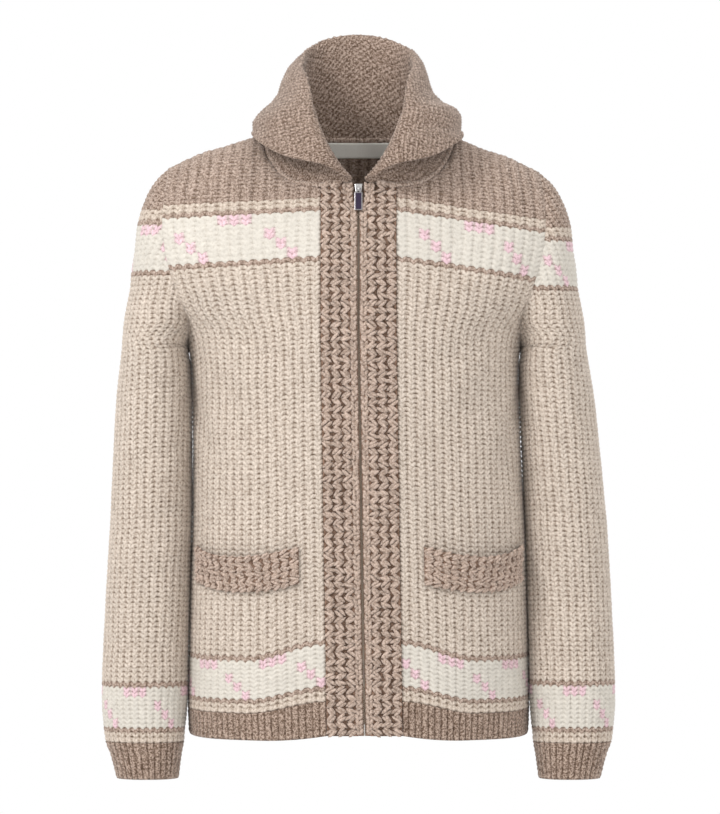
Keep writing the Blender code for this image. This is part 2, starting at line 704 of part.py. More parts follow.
def two_faced_sheet(name, first, second, finish, parts):
    """A closed sheet between two grids of the same size."""
    rows, columns = first.shape[:2]
    bm = bmesh.new()
    faces = {}
    for kind, grid in (("a", first), ("b", second)):
        faces[kind] = [[bm.verts.new(point) for point in line] for line in grid]
    for kind in ("a", "b"):
        for row in range(rows - 1):
            for column in range(columns - 1):
                g = faces[kind]
                bm.faces.new((g[row][column], g[row][column + 1], g[row + 1][column + 1], g[row + 1][column]))
    a = faces["a"]
    b = faces["b"]
    for row in range(rows - 1):
        for column in (0, columns - 1):
            bm.faces.new((a[row][column], a[row + 1][column], b[row + 1][column], b[row][column]))
    for column in range(columns - 1):
        for row in (0, rows - 1):
            bm.faces.new((a[row][column], a[row][column + 1], b[row][column + 1], b[row][column]))
    bmesh.ops.recalc_face_normals(bm, faces=bm.faces)
    mesh = bpy.data.meshes.new(name)
    bm.to_mesh(mesh)
    bm.free()
    return add_object(name, mesh, finish, parts)


def collar_middle():
    """The collar's middle surface: an arch from the neck seam over the roll to the loose edge."""
    knots = {"station": tuple(range(len(COLLAR["seam_x"])))}
    knots.update(COLLAR)
    last = len(COLLAR["seam_x"]) - 1
    half = []
    for station in np.linspace(0, last, COLLAR_STATIONS):
        points = {}
        for part in ("seam", "roll", "edge"):
            points[part] = np.array([float(read(knots, "station", station, part + "_" + axis)) for axis in "xyz"])
        middle = (points["seam"] + points["edge"]) / 2
        reach = points["seam"] - middle
        rise = points["roll"] - middle
        angle = np.linspace(0, math.pi, COLLAR_POINTS)
        half.append(middle + reach * power_cos(angle, COLLAR_ARCH_POWER)[:, None]
                    + rise * power_sin(angle, COLLAR_ARCH_POWER)[:, None])
    left = np.array(half)
    right = mirror_x(left, -1)
    return np.concatenate([left, right[-2::-1]], axis=0)


def collar(parts):
    """The shawl collar as one thick sheet that stands, rolls and falls outside."""
    middle = collar_middle()
    normal = normals_of(middle)
    inside = middle + normal * COLLAR_WALL / 2
    outside = middle - normal * COLLAR_WALL / 2
    return two_faced_sheet("collar", inside, outside, "dark_knit", parts)


def front_y(x, z):
    """The front's crest surface near the zip."""
    depth = FRONT["depth"](z)
    return -depth + (trunk_edge_y(z) + depth) * (x / BAND_EDGE) ** 2


def trunk_edge_y(z):
    """The front's crest surface at the band's seam."""
    join = FRONT["join"]
    if z <= join:
        return float(lower_points(FRONT, [0], z, 0)[0][1])
    base = lower_points(FRONT, [0, FRONT["share"]], join, 0)
    top_z = float(read(FRONT_TOP, "x", BAND_EDGE, "z"))
    rise = min(1.0, (z - join) / (top_z - join))
    return float(upper_point(FRONT, 0.0, rise, (base[0], base[0], base[1]))[1])


def band(side_sign, parts):
    """One front band from the hem to the neck: a raised stitched part and a plain rolled edge."""
    outer = np.zeros((len(BAND_RISES), len(BAND["across"]), 3))
    inner = np.zeros_like(outer)
    for row, rise in enumerate(BAND_RISES):
        for column, across in enumerate(BAND["across"]):
            top = BAND_TOP_INNER + across * (BAND_TOP_OUTER - BAND_TOP_INNER)
            bottom = BAND_BOTTOM
            z = bottom + rise * (top - bottom)
            sway = closing_x(z)
            edge = BAND_EDGE - SEAM_GAP / 2
            gap = closing_half_gap(z)
            x = side_sign * (gap + across * (edge - gap)) + sway
            y = front_y(x - sway, z)
            proud = float(np.interp(across, BAND["across"], BAND["proud"]))
            outer[row, column] = (x, y - proud, z)
            inner[row, column] = (x, y + WALL - (EDGE_THINNER if across < ROLLED_EDGE else 0), z)
    name = "band_left" if side_sign > 0 else "band_right"
    return two_faced_sheet(name, outer, inner, "dark_knit", parts)


def zip_tape(side_sign, parts):
    """One tape behind the band's rolled edge, with its tooth line at the closing."""
    across = (0.0, TOOTH_LINE_WIDTH, TOOTH_LINE_WIDTH + 0.0002, TAPE_HIDDEN_WIDTH)
    raised = (TOOTH_LINE_PROUD, TOOTH_LINE_PROUD, 0.0, 0.0)
    top = SLIDER_TOP - SLIDER_LENGTH - SLIDER_CLEARANCE
    band_levels = BAND_BOTTOM + np.array(BAND_RISES) * (BAND_TOP_INNER - BAND_BOTTOM)
    levels = np.append(band_levels[band_levels < top], top)
    front = np.zeros((len(levels), len(across), 3))
    rear = np.zeros_like(front)
    for row, z in enumerate(levels):
        sway = closing_x(z)
        plane = front_y(0, z) + WALL - EDGE_THINNER + 2 * SEAM_GAP
        for column, offset in enumerate(across):
            x = side_sign * (ZIP_HALF_CLEARANCE + offset) + sway
            front[row, column] = (x, plane - raised[column], z)
            rear[row, column] = (x, plane + TAPE_THICKNESS, z)
    name = "zip_tape_left" if side_sign > 0 else "zip_tape_right"
    return two_faced_sheet(name, front, rear, "zip_tape", parts)


def slider_frame():
    """The slider's own axes: it lies on the front's slope, its pin across the zip."""
    top = SLIDER_TOP
    low = SLIDER_TOP - 0.05
    slope = math.atan2(front_y(0, top) - front_y(0, low), top - low)
    middle_z = SLIDER_TOP - SLIDER_LENGTH / 2
    place = Matrix.Translation((closing_x(middle_z), front_y(0, middle_z) + SLIDER_SET_BACK, middle_z))
    return place @ Matrix.Rotation(-slope, 4, "X")


def apply_modifiers(piece):
    """Turn a piece's modifiers into its mesh."""
    graph = bpy.context.evaluated_depsgraph_get()
    mesh = bpy.data.meshes.new_from_object(piece.evaluated_get(graph))
    mesh.transform(piece.matrix_world)
    piece.modifiers.clear()
    piece.data = mesh
    piece.matrix_world = Matrix.Identity(4)
    return piece


def cut_or_join(piece, other, operation):
    """A Boolean of two pieces, after which the other one is gone."""
    change = piece.modifiers.new(operation.lower(), "BOOLEAN")
    change.operation = operation
    change.object = other
    bpy.context.view_layer.update()
    apply_modifiers(piece)
    bpy.data.objects.remove(other)


def block(size, place, parts, bevel=0.0, segments=2):
    """A box of a size at a place, with rounded edges."""
    bm = bmesh.new()
    bmesh.ops.create_cube(bm, size=1, matrix=Matrix.Translation(place) @ Matrix.Diagonal((*size, 1)))
    mesh = bpy.data.meshes.new("block")
    bm.to_mesh(mesh)
    bm.free()
    piece = bpy.data.objects.new("block", mesh)
    parts.objects.link(piece)
    if bevel:
        rounding = piece.modifiers.new("rounding", "BEVEL")
        rounding.width = bevel
        rounding.segments = segments
        bpy.context.view_layer.update()
        apply_modifiers(piece)
    return piece


def rod(radius, length, place, turn, parts, sides=12):
    """A round bar, its length along the turned Z axis."""
    bm = bmesh.new()
    bmesh.ops.create_cone(bm, cap_ends=True, segments=sides, radius1=radius, radius2=radius, depth=length,
                          matrix=Matrix.Translation(place) @ turn)
    mesh = bpy.data.meshes.new("rod")
    bm.to_mesh(mesh)
    bm.free()
    piece = bpy.data.objects.new("rod", mesh)
    parts.objects.link(piece)
    return piece


def bridge(parts):
    """The slider's bridge: a flat-sided arch along the zip, with room for the pull's pin."""
    outer = rod(BRIDGE_RADIUS, BRIDGE_WIDTH, (0, -SLIDER_THICKNESS / 2, 0), Matrix.Rotation(math.pi / 2, 4, "Y"),
                parts, 20)
    hole = rod(BRIDGE_RADIUS - BRIDGE_WIRE, BRIDGE_WIDTH * 2, (0, -SLIDER_THICKNESS / 2, 0),
               Matrix.Rotation(math.pi / 2, 4, "Y"), parts, 20)
    cut_or_join(outer, hole, "DIFFERENCE")
    keep = block((0.01, 0.01, 0.02), (0, -SLIDER_THICKNESS / 2 - 0.005 + 0.0004, 0), parts)
    cut_or_join(outer, keep, "INTERSECT")
    return outer


def name_mesh(piece, name, finish, frame, parts):
    """Place a finished hard piece in the slider's axes and give it its name and material."""
    mesh = piece.data
    mesh.name = name
    piece.name = name
    mesh.materials.clear()
    mesh.materials.append(material(finish).copy())
    mesh.materials[0].name = name + "_" + finish
    piece.matrix_world = frame
    return piece


def slider(parts):
    """The slider: a body that narrows downward, with its bridge on the front."""
    body = block((SLIDER_WIDTH, SLIDER_THICKNESS, SLIDER_LENGTH), (0, 0, 0), parts)
    for vertex in body.data.vertices:
        if vertex.co.z < 0:
            vertex.co.x *= SLIDER_TAPER
    rounding = body.modifiers.new("rounding", "BEVEL")
    rounding.width = SLIDER_ROUND
    rounding.segments = 2
    bpy.context.view_layer.update()
    apply_modifiers(body)
    cut_or_join(body, bridge(parts), "UNION")
    return name_mesh(body, "zip_slider", "zip_metal", slider_frame(), parts)


def pull(parts):
    """The pull: a pin under the bridge, two arms and a framed tab with its inlay."""
    across = Matrix.Rotation(math.pi / 2, 4, "Y")
    spread = 2 * ARM_HALF_SPREAD
    frame_piece = block((TAB_WIDTH, TAB_THICKNESS, TAB_LENGTH),
                        (0, 0, -TAB_ARM - TAB_LENGTH / 2), parts, 0.0006)
    recess = block((TAB_WIDTH - 2 * TAB_FRAME, TAB_THICKNESS, TAB_LENGTH - 2 * TAB_FRAME),
                   (0, -TAB_THICKNESS * 0.62, -TAB_ARM - TAB_LENGTH / 2), parts)
    cut_or_join(frame_piece, recess, "DIFFERENCE")
    for side_sign in (-1, 1):
        arm = block((ARM_THICKNESS, ARM_THICKNESS, TAB_ARM + 0.0012),
                    (side_sign * (ARM_HALF_SPREAD - ARM_THICKNESS / 2 + 0.0001), 0, -TAB_ARM / 2), parts)
        cut_or_join(frame_piece, arm, "UNION")
    pin = rod(PIN_RADIUS, spread - 0.0006, (0, 0, 0), across, parts)
    cut_or_join(frame_piece, pin, "UNION")
    pin_place = slider_frame() @ Matrix.Translation((0, -SLIDER_THICKNESS / 2 - PIN_HEIGHT + 0.0004, 0))
    name_mesh(frame_piece, "zip_pull", "zip_metal", pin_place, parts)
    inlay_size = (TAB_WIDTH - 2 * TAB_FRAME - 2 * SEAM_GAP, TAB_THICKNESS * 0.55,
                  TAB_LENGTH - 2 * TAB_FRAME - 2 * SEAM_GAP)
    inlay = block(inlay_size, (0, -TAB_THICKNESS * 0.12 - inlay_size[1] / 2 - SEAM_GAP,
                               -TAB_ARM - TAB_LENGTH / 2), parts, 0.0003)
    return name_mesh(inlay, "pull_inlay", "pull_inlay", pin_place, parts)


def welt(side_sign, parts):
    """A pocket welt on a front: sewn on three sides, its top edge stands off to leave the mouth."""
    outer = np.zeros((WELT_ROWS, WELT_COLUMNS + 1, 3))
    inner = np.zeros_like(outer)
    shares = np.linspace(WELT_START, WELT_END, WELT_COLUMNS + 1)
    crest = np.zeros_like(outer)
    lift = np.zeros(outer.shape[:2])
    for column, share in enumerate(shares):
        middle = math.sin(math.pi * column / WELT_COLUMNS)
        for row, rise in enumerate(np.linspace(0, 1, WELT_ROWS)):
            top = WELT_TOP - WELT_SAG * middle
            bottom = WELT_BOTTOM - WELT_SAG * 0.9 * middle ** 0.8
            z = bottom + rise * (top - bottom)
            crest[row, column] = lower_points(FRONT, [share], z, side_sign)[0]
            lift[row, column] = WELT_MOUTH * rise ** 1.5 * middle ** 0.7
    normal = outward(crest, normals_of(crest), np.array([0, 0, -0.5]))
    inner = crest + normal * (SEAM_GAP + lift)[..., None]
    outer = inner + normal * WELT_WALL
    name = "welt_left" if side_sign > 0 else "welt_right"
    return two_faced_sheet(name, mirror_x(outer, side_sign), mirror_x(inner, side_sign), "dark_knit", parts)


def neck_label(parts):
    """The bare woven label inside the back neck."""
    columns = np.linspace(-LABEL_HALF_WIDTH, LABEL_HALF_WIDTH, LABEL_COLUMNS + 1)
    levels = (LABEL_TOP - LABEL_HEIGHT, LABEL_TOP - LABEL_HEIGHT / 2, LABEL_TOP)
    face_to_neck = np.zeros((len(levels), len(columns), 3))
    for row, z in enumerate(levels):
        for column, x in enumerate(columns):
            face_to_neck[row, column] = (x, label_y(x, z), z)
    against_back = face_to_neck + np.array([0, LABEL_THICKNESS, 0])
    return two_faced_sheet("neck_label", face_to_neck, against_back, "label", parts)


def label_y(x, z):
    """Just inside the back's wall, at a place across and a level near the neck."""
    join = BACK["join"]
    base = lower_points(BACK, [0, BACK["share"]], join, 0)
    share = abs(x) / SHOULDER_TIP_X * BACK["share"]
    low = lower_points(BACK, [share], join, 0)[0]
    line = np.array([upper_point(BACK, share, rise, (base[0], low, base[1])) for rise in np.linspace(0.7, 1, 25)])
    line[:, 1] *= -1
    run = np.gradient(line, axis=0)
    length = np.hypot(run[:, 1], run[:, 2])
    inside_y = line[:, 1] - WALL * run[:, 2] / length
    inside_z = line[:, 2] + WALL * run[:, 1] / length
    return float(np.interp(z, inside_z, inside_y)) - LABEL_THICKNESS - LABEL_CLEARANCE


def clear_scene():
    """Start from an empty file and make the object's collection."""
    for piece in list(bpy.data.objects):
        bpy.data.objects.remove(piece)
    parts = bpy.data.collections.new(OBJECT)
    bpy.context.scene.collection.children.link(parts)
    return parts


def main():
    parts = clear_scene()
    for side_sign in (-1, 1):
        front_panel(side_sign, parts)
        sleeve(side_sign, parts)
        cuff(side_sign, parts)
        name = "hem_rib_left" if side_sign > 0 else "hem_rib_right"
        hem_piece(name, FRONT, HEM_RIBS_FRONT, side_sign, parts)
        band(side_sign, parts)
        zip_tape(side_sign, parts)
        welt(side_sign, parts)
    back_panel(parts)
    hem_piece("hem_rib_back", BACK, HEM_RIBS_BACK, 0, parts)
    collar(parts)
    slider(parts)
    pull(parts)
    neck_label(parts)


main()
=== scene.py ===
"""The zip cardigan's looks: knitted panels, sleeves, ribs, bands, collar, zip and label.

Each cloth piece is a thin wall on its solid's form, with its stitches in the outer side. The
surface functions and sizes are the same as the part's own. Units are metres.
"""

import math

import bpy
import numpy as np
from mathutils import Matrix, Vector


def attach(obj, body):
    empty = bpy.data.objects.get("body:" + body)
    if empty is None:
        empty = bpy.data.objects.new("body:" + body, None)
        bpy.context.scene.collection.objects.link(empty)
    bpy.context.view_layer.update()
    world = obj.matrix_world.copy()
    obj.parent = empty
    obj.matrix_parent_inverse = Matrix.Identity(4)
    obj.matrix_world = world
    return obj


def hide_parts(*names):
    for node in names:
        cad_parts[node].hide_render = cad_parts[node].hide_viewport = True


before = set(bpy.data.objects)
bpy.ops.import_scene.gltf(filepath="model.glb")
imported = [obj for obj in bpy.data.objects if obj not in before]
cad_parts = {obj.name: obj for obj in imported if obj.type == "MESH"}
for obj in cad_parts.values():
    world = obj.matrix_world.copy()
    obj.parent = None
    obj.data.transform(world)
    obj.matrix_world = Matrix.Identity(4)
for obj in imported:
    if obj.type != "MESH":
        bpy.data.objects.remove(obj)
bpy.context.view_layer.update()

# Knitted cloth
WALL = 0.0042
SEAM_GAP = 0.00008
FRONT_RIBS_UP = 14
FRONT_RIBS_SIDE = 6
BACK_RIBS_UP = 18
BACK_RIBS_SIDE = 6
SLEEVE_RIBS = 34
HEM_RIBS_FRONT = 28
HEM_RIBS_BACK = 64
CUFF_RIBS = 34

# Levels
HEM_SEAM = -0.6620
HEM_BOTTOM = -0.6950
HEM_RISE_AT_ZIP = 0.0065
HEM_RISE_AT_SIDE = 0.0040
CUFF_SEAM = -0.7010
CUFF_BOTTOM = -0.7430
UNDERARM = -0.2500
UNDERARM_X = 0.1905
TRUNK_WIDEST = -0.2620
CAP_START = -0.2760
SHOULDER_TIP = -0.0430
SHOULDER_TIP_X = 0.2130
NECK_POINT_X = 0.1115

# Front closing
BAND_EDGE = 0.0425
CLOSING_HALF_GAP = 0.0014
CLOSING_SWAY = 0.0070
CLOSING_SWAY_FROM = -0.2300
BAND_TOP_INNER = -0.0660
BAND_TOP_OUTER = -0.0695

# The trunk's section at each level, at the crests of the ribs
TRUNK = {
    "z": (-0.705, -0.660, -0.600, -0.500, -0.425, -0.310,
          -0.262, -0.223, -0.150, -0.100, -0.060, -0.007),
    "half_width": (0.1945, 0.1965, 0.1955, 0.1930, 0.1905, 0.1875,
                   0.1885, 0.20, 0.20, 0.20, 0.20, 0.20),
    "front_depth": (0.1230, 0.1275, 0.1290, 0.1280, 0.1275, 0.1300,
                    0.1300, 0.1280, 0.1190, 0.1095, 0.0990, 0.075),
    "back_depth": (0.1190, 0.1230, 0.1240, 0.1215, 0.1205, 0.1245,
                   0.1260, 0.1265, 0.1220, 0.1130, 0.1010, 0.080),
}
TRUNK_MIDDLE = (0, 0, -0.35)
TRUNK_POWER = 2.2

# Points to a section, and how roundly a panel closes towards its top: at the middle, how much more
# at the armhole, and how fast that comes
SECTION_POINTS = 90
TOP_ROUND = 1.15
TOP_ROUNDER = 0.75
TOP_ROUNDER_RATE = 1.4

# Shares of a hem's way round where its rise to the zip ends and its rise to the side starts
HEM_ZIP_END = 0.35
HEM_SIDE_START = 0.6

# The arm's ring at each level; above the underarm only the part outside the seam is cloth
ARM = {
    "z": (-0.745, -0.715, -0.700, -0.650, -0.550, -0.425, -0.310, -0.276, -0.250, -0.223,
          -0.200, -0.170, -0.140, -0.106, -0.076, -0.058, -0.048, -0.043),
    "centre_x": (0.2415, 0.2435, 0.2450, 0.2459, 0.2432, 0.2377, 0.2319, 0.2302, 0.22875, 0.2235,
                 0.2170, 0.2120, 0.2160, 0.2185, 0.2170, 0.2145, 0.2133, 0.2130),
    "half_width": (0.0355, 0.0415, 0.0455, 0.0483, 0.0477, 0.0459, 0.0431, 0.0403, 0.03825, 0.0415,
                   0.0440, 0.0445, 0.0365, 0.0300, 0.0215, 0.0130, 0.0068, 0.0012),
    "centre_y": (-0.020, -0.019, -0.018, -0.016, -0.011, -0.005, -0.001, 0.0, 0.0, 0.0,
                 0.0, 0.0, 0.0, 0.0, 0.0, 0.0, 0.0, 0.0),
    "half_depth": (0.0360, 0.0415, 0.0445, 0.0470, 0.0520, 0.0575, 0.0665, 0.0715, 0.0750, 0.0760,
                   0.0740, 0.0690, 0.0620, 0.0500, 0.0350, 0.0230, 0.0115, 0.0012),
    "seam_x": (0.0, 0.0, 0.0, 0.0, 0.0, 0.0, 0.0, 0.0, 0.1905, 0.1890,
               0.1965, 0.2075, 0.2150, 0.2185, 0.2170, 0.2145, 0.2133, 0.2130),
    "seam_column": (0.0, 0.0, 0.0, 0.0, 0.0, 0.0, 0.0, 0.0, 0.0, 0.125,
                    0.175, 0.225, 0.275, 0.335, 0.385, 0.425, 0.460, 0.500),
}
ARM_POWER = 2.2
ARMHOLE_SEARCH_TOP = -0.1700
ARMHOLE_MIDDLE = -0.1465
ARMHOLE_HALF_HEIGHT = 0.1035
ARMHOLE_HALF_DEPTH = 0.0720

# Top edges by their distance from the middle: neckline first, then the shoulder seam
FRONT_TOP = {
    "x": (0.0425, 0.0720, 0.0905, 0.1040, 0.1120, 0.1230, 0.1500, 0.1750, 0.1950, 0.2130),
    "y": (-0.0960, -0.0800, -0.0600, -0.0330, 0.0, 0.0, 0.0, 0.0, 0.0, 0.0),
    "z": (-0.0695, -0.0640, -0.0510, -0.0300, -0.0060, -0.0085, -0.0175, -0.0250, -0.0340, -0.0430),
}
BACK_TOP = {
    "x": (0.0, 0.0400, 0.0750, 0.1000, 0.1120, 0.1230, 0.1500, 0.1750, 0.1950, 0.2130),
    "y": (0.0800, 0.0750, 0.0560, 0.0260, 0.0, 0.0, 0.0, 0.0, 0.0, 0.0),
    "z": (-0.0080, -0.0080, -0.0075, -0.0065, -0.0060, -0.0085, -0.0175, -0.0250, -0.0340, -0.0430),
}

# Collar stations from the zip round to the middle of the back, on the wearer's left
COLLAR = {
    "seam_x": (0.0215, 0.0430, 0.0690, 0.0880, 0.1020, 0.1085, 0.1000, 0.0750, 0.0400, 0.0),
    "seam_y": (-0.1010, -0.0950, -0.0780, -0.0580, -0.0310, 0.0, 0.0250, 0.0540, 0.0730, 0.0780),
    "seam_z": (-0.0643, -0.0670, -0.0640, -0.0513, -0.0304, -0.0062, -0.0057, -0.0074, -0.0076, -0.0079),
    "roll_x": (0.0075, 0.0205, 0.0335, 0.0440, 0.0530, 0.0590, 0.0640, 0.0610, 0.0400, 0.0),
    "roll_y": (-0.1080, -0.1090, -0.1040, -0.0930, -0.0740, -0.0390, 0.0020, 0.0480, 0.0830, 0.0950),
    "roll_z": (-0.0620, -0.0490, -0.0290, -0.0030, 0.0270, 0.0580, 0.0820, 0.1020, 0.1130, 0.1160),
    "edge_x": (0.0200, 0.0350, 0.0520, 0.0770, 0.1020, 0.1205, 0.1200, 0.0960, 0.0520, 0.0),
    "edge_y": (-0.1180, -0.1240, -0.1230, -0.1110, -0.0870, -0.0430, 0.0130, 0.0720, 0.1100, 0.1200),
    "edge_z": (-0.0575, -0.0480, -0.0430, -0.0375, -0.0255, -0.0100, -0.0040, -0.0080, -0.0120, -0.0130),
}
COLLAR_WALL = 0.0050
COLLAR_ARCH_POWER = 1.75
COLLAR_STATIONS = 15
COLLAR_POINTS = 13

# Front band across its width: share of the way from the zip to the seam, and how far it stands out
BAND = {
    "across": (0.0, 0.04, 0.12, 0.19, 0.225, 0.27, 0.60, 0.96, 1.0),
    "proud": (-0.0012, 0.0002, 0.0008, 0.0002, -0.0010, 0.0012, 0.0016, 0.0012, -0.0002),
}
ROLLED_EDGE = 0.2
BAND_BOTTOM = HEM_BOTTOM + HEM_RISE_AT_ZIP
SLIDER_ROOM = 0.0046
SLIDER_ROOM_FROM = -0.0910
SLIDER_ROOM_TO = -0.0830

# Zip
TAPE_HIDDEN_WIDTH = 0.0082
TAPE_THICKNESS = 0.0008
EDGE_THINNER = 0.0008
TOOTH_LINE_WIDTH = 0.0013
ZIP_HALF_CLEARANCE = 0.00016
SLIDER_TOP = -0.0665
SLIDER_LENGTH = 0.0125
SLIDER_CLEARANCE = 0.0006

# Pocket welts
WELT_START = 0.130
WELT_END = 0.780
WELT_TOP = -0.4760
WELT_BOTTOM = -0.5165
WELT_SAG = 0.0120
WELT_WALL = 0.0040
WELT_MOUTH = 0.0105

# Neck label
LABEL_HALF_WIDTH = 0.0390
LABEL_TOP = -0.0110
LABEL_HEIGHT = 0.0175
LABEL_THICKNESS = 0.0007
LABEL_CLEARANCE = 0.0014

# The sides' names: the garment is drawn on the wearer's left, side 1, and mirrored to the right, side -1
SIDE_NAMES = {1: "left", -1: "right"}

# Where each piece's random unevenness starts; a paired piece adds its side, and ribs sway by a second one
SEED = {"front": 11, "back": 21, "sleeve": 31, "cuff": 41, "hem": 51, "collar": 61,
        "band": 71, "welt": 81, "label": 91, "neck_seam": 95}
SWAY_SEED = 100


def smooth(share):
    """A share eased at both ends."""
    return share * share * (3 - 2 * share)


def hermite(start, end, start_slope, end_slope, step, share):
    """A smooth curve between two values with their slopes, at a share of the step between them."""
    return (start * (1 + 2 * share) * (1 - share) ** 2
            + end * share ** 2 * (3 - 2 * share)
            + start_slope * step * share * (1 - share) ** 2
            - end_slope * step * share ** 2 * (1 - share))


def read(table, key, value, column):
    """Read a named column of a table at a value, along a curve without overshoot."""
    knots = np.array(table[key], float)
    heights = np.array(table[column], float)
    steps = np.diff(knots)
    slopes = np.diff(heights) / steps
    tangent = np.zeros(len(knots))
    same_way = slopes[:-1] * slopes[1:] > 0
    blend = 2 * slopes[:-1] * slopes[1:] / np.where(same_way, slopes[:-1] + slopes[1:], 1)
    tangent[1:-1] = np.where(same_way, blend, 0)
    tangent[0] = slopes[0]
    tangent[-1] = slopes[-1]
    value = np.clip(np.asarray(value, float), knots[0], knots[-1])
    place = np.clip(np.searchsorted(knots, value) - 1, 0, len(steps) - 1)
    share = (value - knots[place]) / steps[place]
    return hermite(heights[place], heights[place + 1], tangent[place], tangent[place + 1],
                   steps[place], share)


def run_of(line):
    """The length from a line's start to each of its points."""
    return np.concatenate([[0], np.cumsum(np.linalg.norm(np.diff(line, axis=0), axis=1))])


def along(points, share):
    """The point at a share of a line's length."""
    length = run_of(points)
    wanted = np.asarray(share) * length[-1]
    return np.stack([np.interp(wanted, length, points[:, axis]) for axis in range(3)], axis=-1)


def curve_at(line, places, wanted):
    """Points of a smooth curve through a line's points, whose places along it are given."""
    slope = np.gradient(line, places, axis=0)
    index = np.clip(np.searchsorted(places, wanted, side="right") - 1, 0, len(places) - 2)
    step = (places[index + 1] - places[index])[:, None]
    share = (wanted - places[index])[:, None] / step
    return hermite(line[index], line[index + 1], slope[index], slope[index + 1], step, share)


def power_cos(angle, power):
    """The cosine of a rounded-square ring."""
    return np.sign(np.cos(angle)) * np.abs(np.cos(angle)) ** (2 / power)


def power_sin(angle, power):
    """The sine of a rounded-square ring."""
    return np.abs(np.sin(angle)) ** (2 / power)


def arm_value(column, z):
    """A column of the arm's table at a level."""
    return read(ARM, "z", z, column)


def armhole_point(z):
    """The front half of the armhole seam at a level, on the wearer's left."""
    reach = np.clip((arm_value("centre_x", z) - arm_value("seam_x", z)) / arm_value("half_width", z), 0, 1)
    y = -arm_value("half_depth", z) * (1 - reach ** ARM_POWER) ** (1 / ARM_POWER)
    return np.array([arm_value("seam_x", z), y, z])


def trunk_half_width(z, depth):
    """The section's half width; above the underarm it is the one that meets the armhole seam."""
    if z <= UNDERARM:
        if z < TRUNK_WIDEST:
            return float(read(TRUNK, "z", z, "half_width"))
        widest = read(TRUNK, "z", TRUNK_WIDEST, "half_width")
        return float(np.interp(z, (TRUNK_WIDEST, UNDERARM), (widest, UNDERARM_X)))
    x, y, _ = armhole_point(z)
    return x / (1 - min(0.95, abs(y) / depth) ** TRUNK_POWER) ** (1 / TRUNK_POWER)


def trunk_section(z, depth, start_x):
    """A quarter of the trunk's section, from start_x round to the side seam, in the front's sign."""
    half = trunk_half_width(z, depth)
    start = math.asin(min(1, start_x / half) ** (TRUNK_POWER / 2))
    angle = np.linspace(start, math.pi / 2, SECTION_POINTS)
    x = half * power_sin(angle, TRUNK_POWER)
    y = -depth * np.maximum(0, np.cos(angle)) ** (2 / TRUNK_POWER)
    return np.stack([x, y, np.full(SECTION_POINTS, z)], axis=1)


def seam_share(z, side):
    """How far round a section the armhole seam cuts it, as a share of the way to the side seam."""
    section = trunk_section(z, side["depth"](z), side["start"](z))
    length = run_of(section)
    seam_y = armhole_point(z)[1]
    return float(np.interp(seam_y, section[:, 1], length / length[-1]))


def make_side(name, depth_column, start, top_table, up_ribs, side_ribs):
    """What differs between the front and the back: depth, start, top edge and ribs."""
    side = {
        "name": name,
        "depth": lambda z: float(read(TRUNK, "z", z, depth_column)),
        "start": start,
        "top": top_table,
        "up": up_ribs,
        "side": side_ribs,
    }
    share = up_ribs / (up_ribs + side_ribs)
    levels = np.linspace(UNDERARM, ARMHOLE_SEARCH_TOP, 60)
    shares = np.array([seam_share(z, side) for z in levels])
    side["share"] = share
    side["join"] = float(np.interp(-share, -shares, levels))
    side["seam_levels"] = levels
    side["seam_shares"] = shares
    return side


def closing_x(z):
    """The zip's line sways to the wearer's left towards the hem."""
    return CLOSING_SWAY * max(0.0, CLOSING_SWAY_FROM - z) / (CLOSING_SWAY_FROM - HEM_BOTTOM)


def closing_half_gap(z):
    """The bands' edges nearly meet over the zip, and part round the slider at the top."""
    share = min(1.0, max(0.0, (z - SLIDER_ROOM_FROM) / (SLIDER_ROOM_TO - SLIDER_ROOM_FROM)))
    return CLOSING_HALF_GAP + SLIDER_ROOM * share


def lower_points(side, shares, z, mirror):
    """Points of one level below the join, at shares of the way round to the side seam."""
    start = side["start"](z)
    if side["name"] == "front":
        start += mirror * closing_x(z)
    return along(trunk_section(z, side["depth"](z), start), shares)


def column_top(side, share):
    """The level at which a side column ends on the armhole seam."""
    return float(np.interp(-share, -side["seam_shares"], side["seam_levels"]))


def top_point(side, x):
    """The top edge's point at a distance from the middle, in the front's sign."""
    y, z = (float(read(side["top"], "x", x, column)) for column in "yz")
    return np.array([x, -y if side["name"] == "back" else y, z])


def upper_point(side, share, rise, base):
    """A point between the join, the middle, the armhole seam and the top edge."""
    join = side["join"]
    across = share / side["share"]
    round_power = TOP_ROUND + TOP_ROUNDER * min(1.0, across * TOP_ROUNDER_RATE)
    hold = (1 - rise ** round_power) ** (1 / round_power)
    start_x = base[0][0]
    top_edge = top_point(side, start_x + across * (SHOULDER_TIP_X - start_x))
    first_top = top_point(side, start_x)
    middle_z = join + rise * (first_top[2] - join)
    keep = base[0][1] / -side["depth"](join)
    middle_y = -side["depth"](middle_z) * keep
    middle_y += (first_top[1] + side["depth"](first_top[2]) * keep) * rise ** 4
    middle = np.array([start_x, middle_y, middle_z])
    seam_z = join + rise * (SHOULDER_TIP - join)
    seam = armhole_point(seam_z)
    last_top = np.array([SHOULDER_TIP_X, 0.0, SHOULDER_TIP])
    weights = np.array([1 - rise, hold, 1 - rise])
    point = weights * base[1] + (1 - weights) * top_edge
    point = point + (1 - across) * middle + across * seam
    corners = (1 - across) * (weights * base[0] + (1 - weights) * first_top)
    corners = corners + across * (weights * base[2] + (1 - weights) * last_top)
    return point - corners


def normals_of(grid):
    """Unit normals of a grid of points, pointing to the grid's outer side."""
    normal = np.cross(np.gradient(grid, axis=1), np.gradient(grid, axis=0))
    size = np.linalg.norm(normal, axis=2, keepdims=True)
    return normal / np.where(size > 1e-12, size, 1)


def unit(vector):
    """A vector turned to length one."""
    return vector / np.linalg.norm(vector)


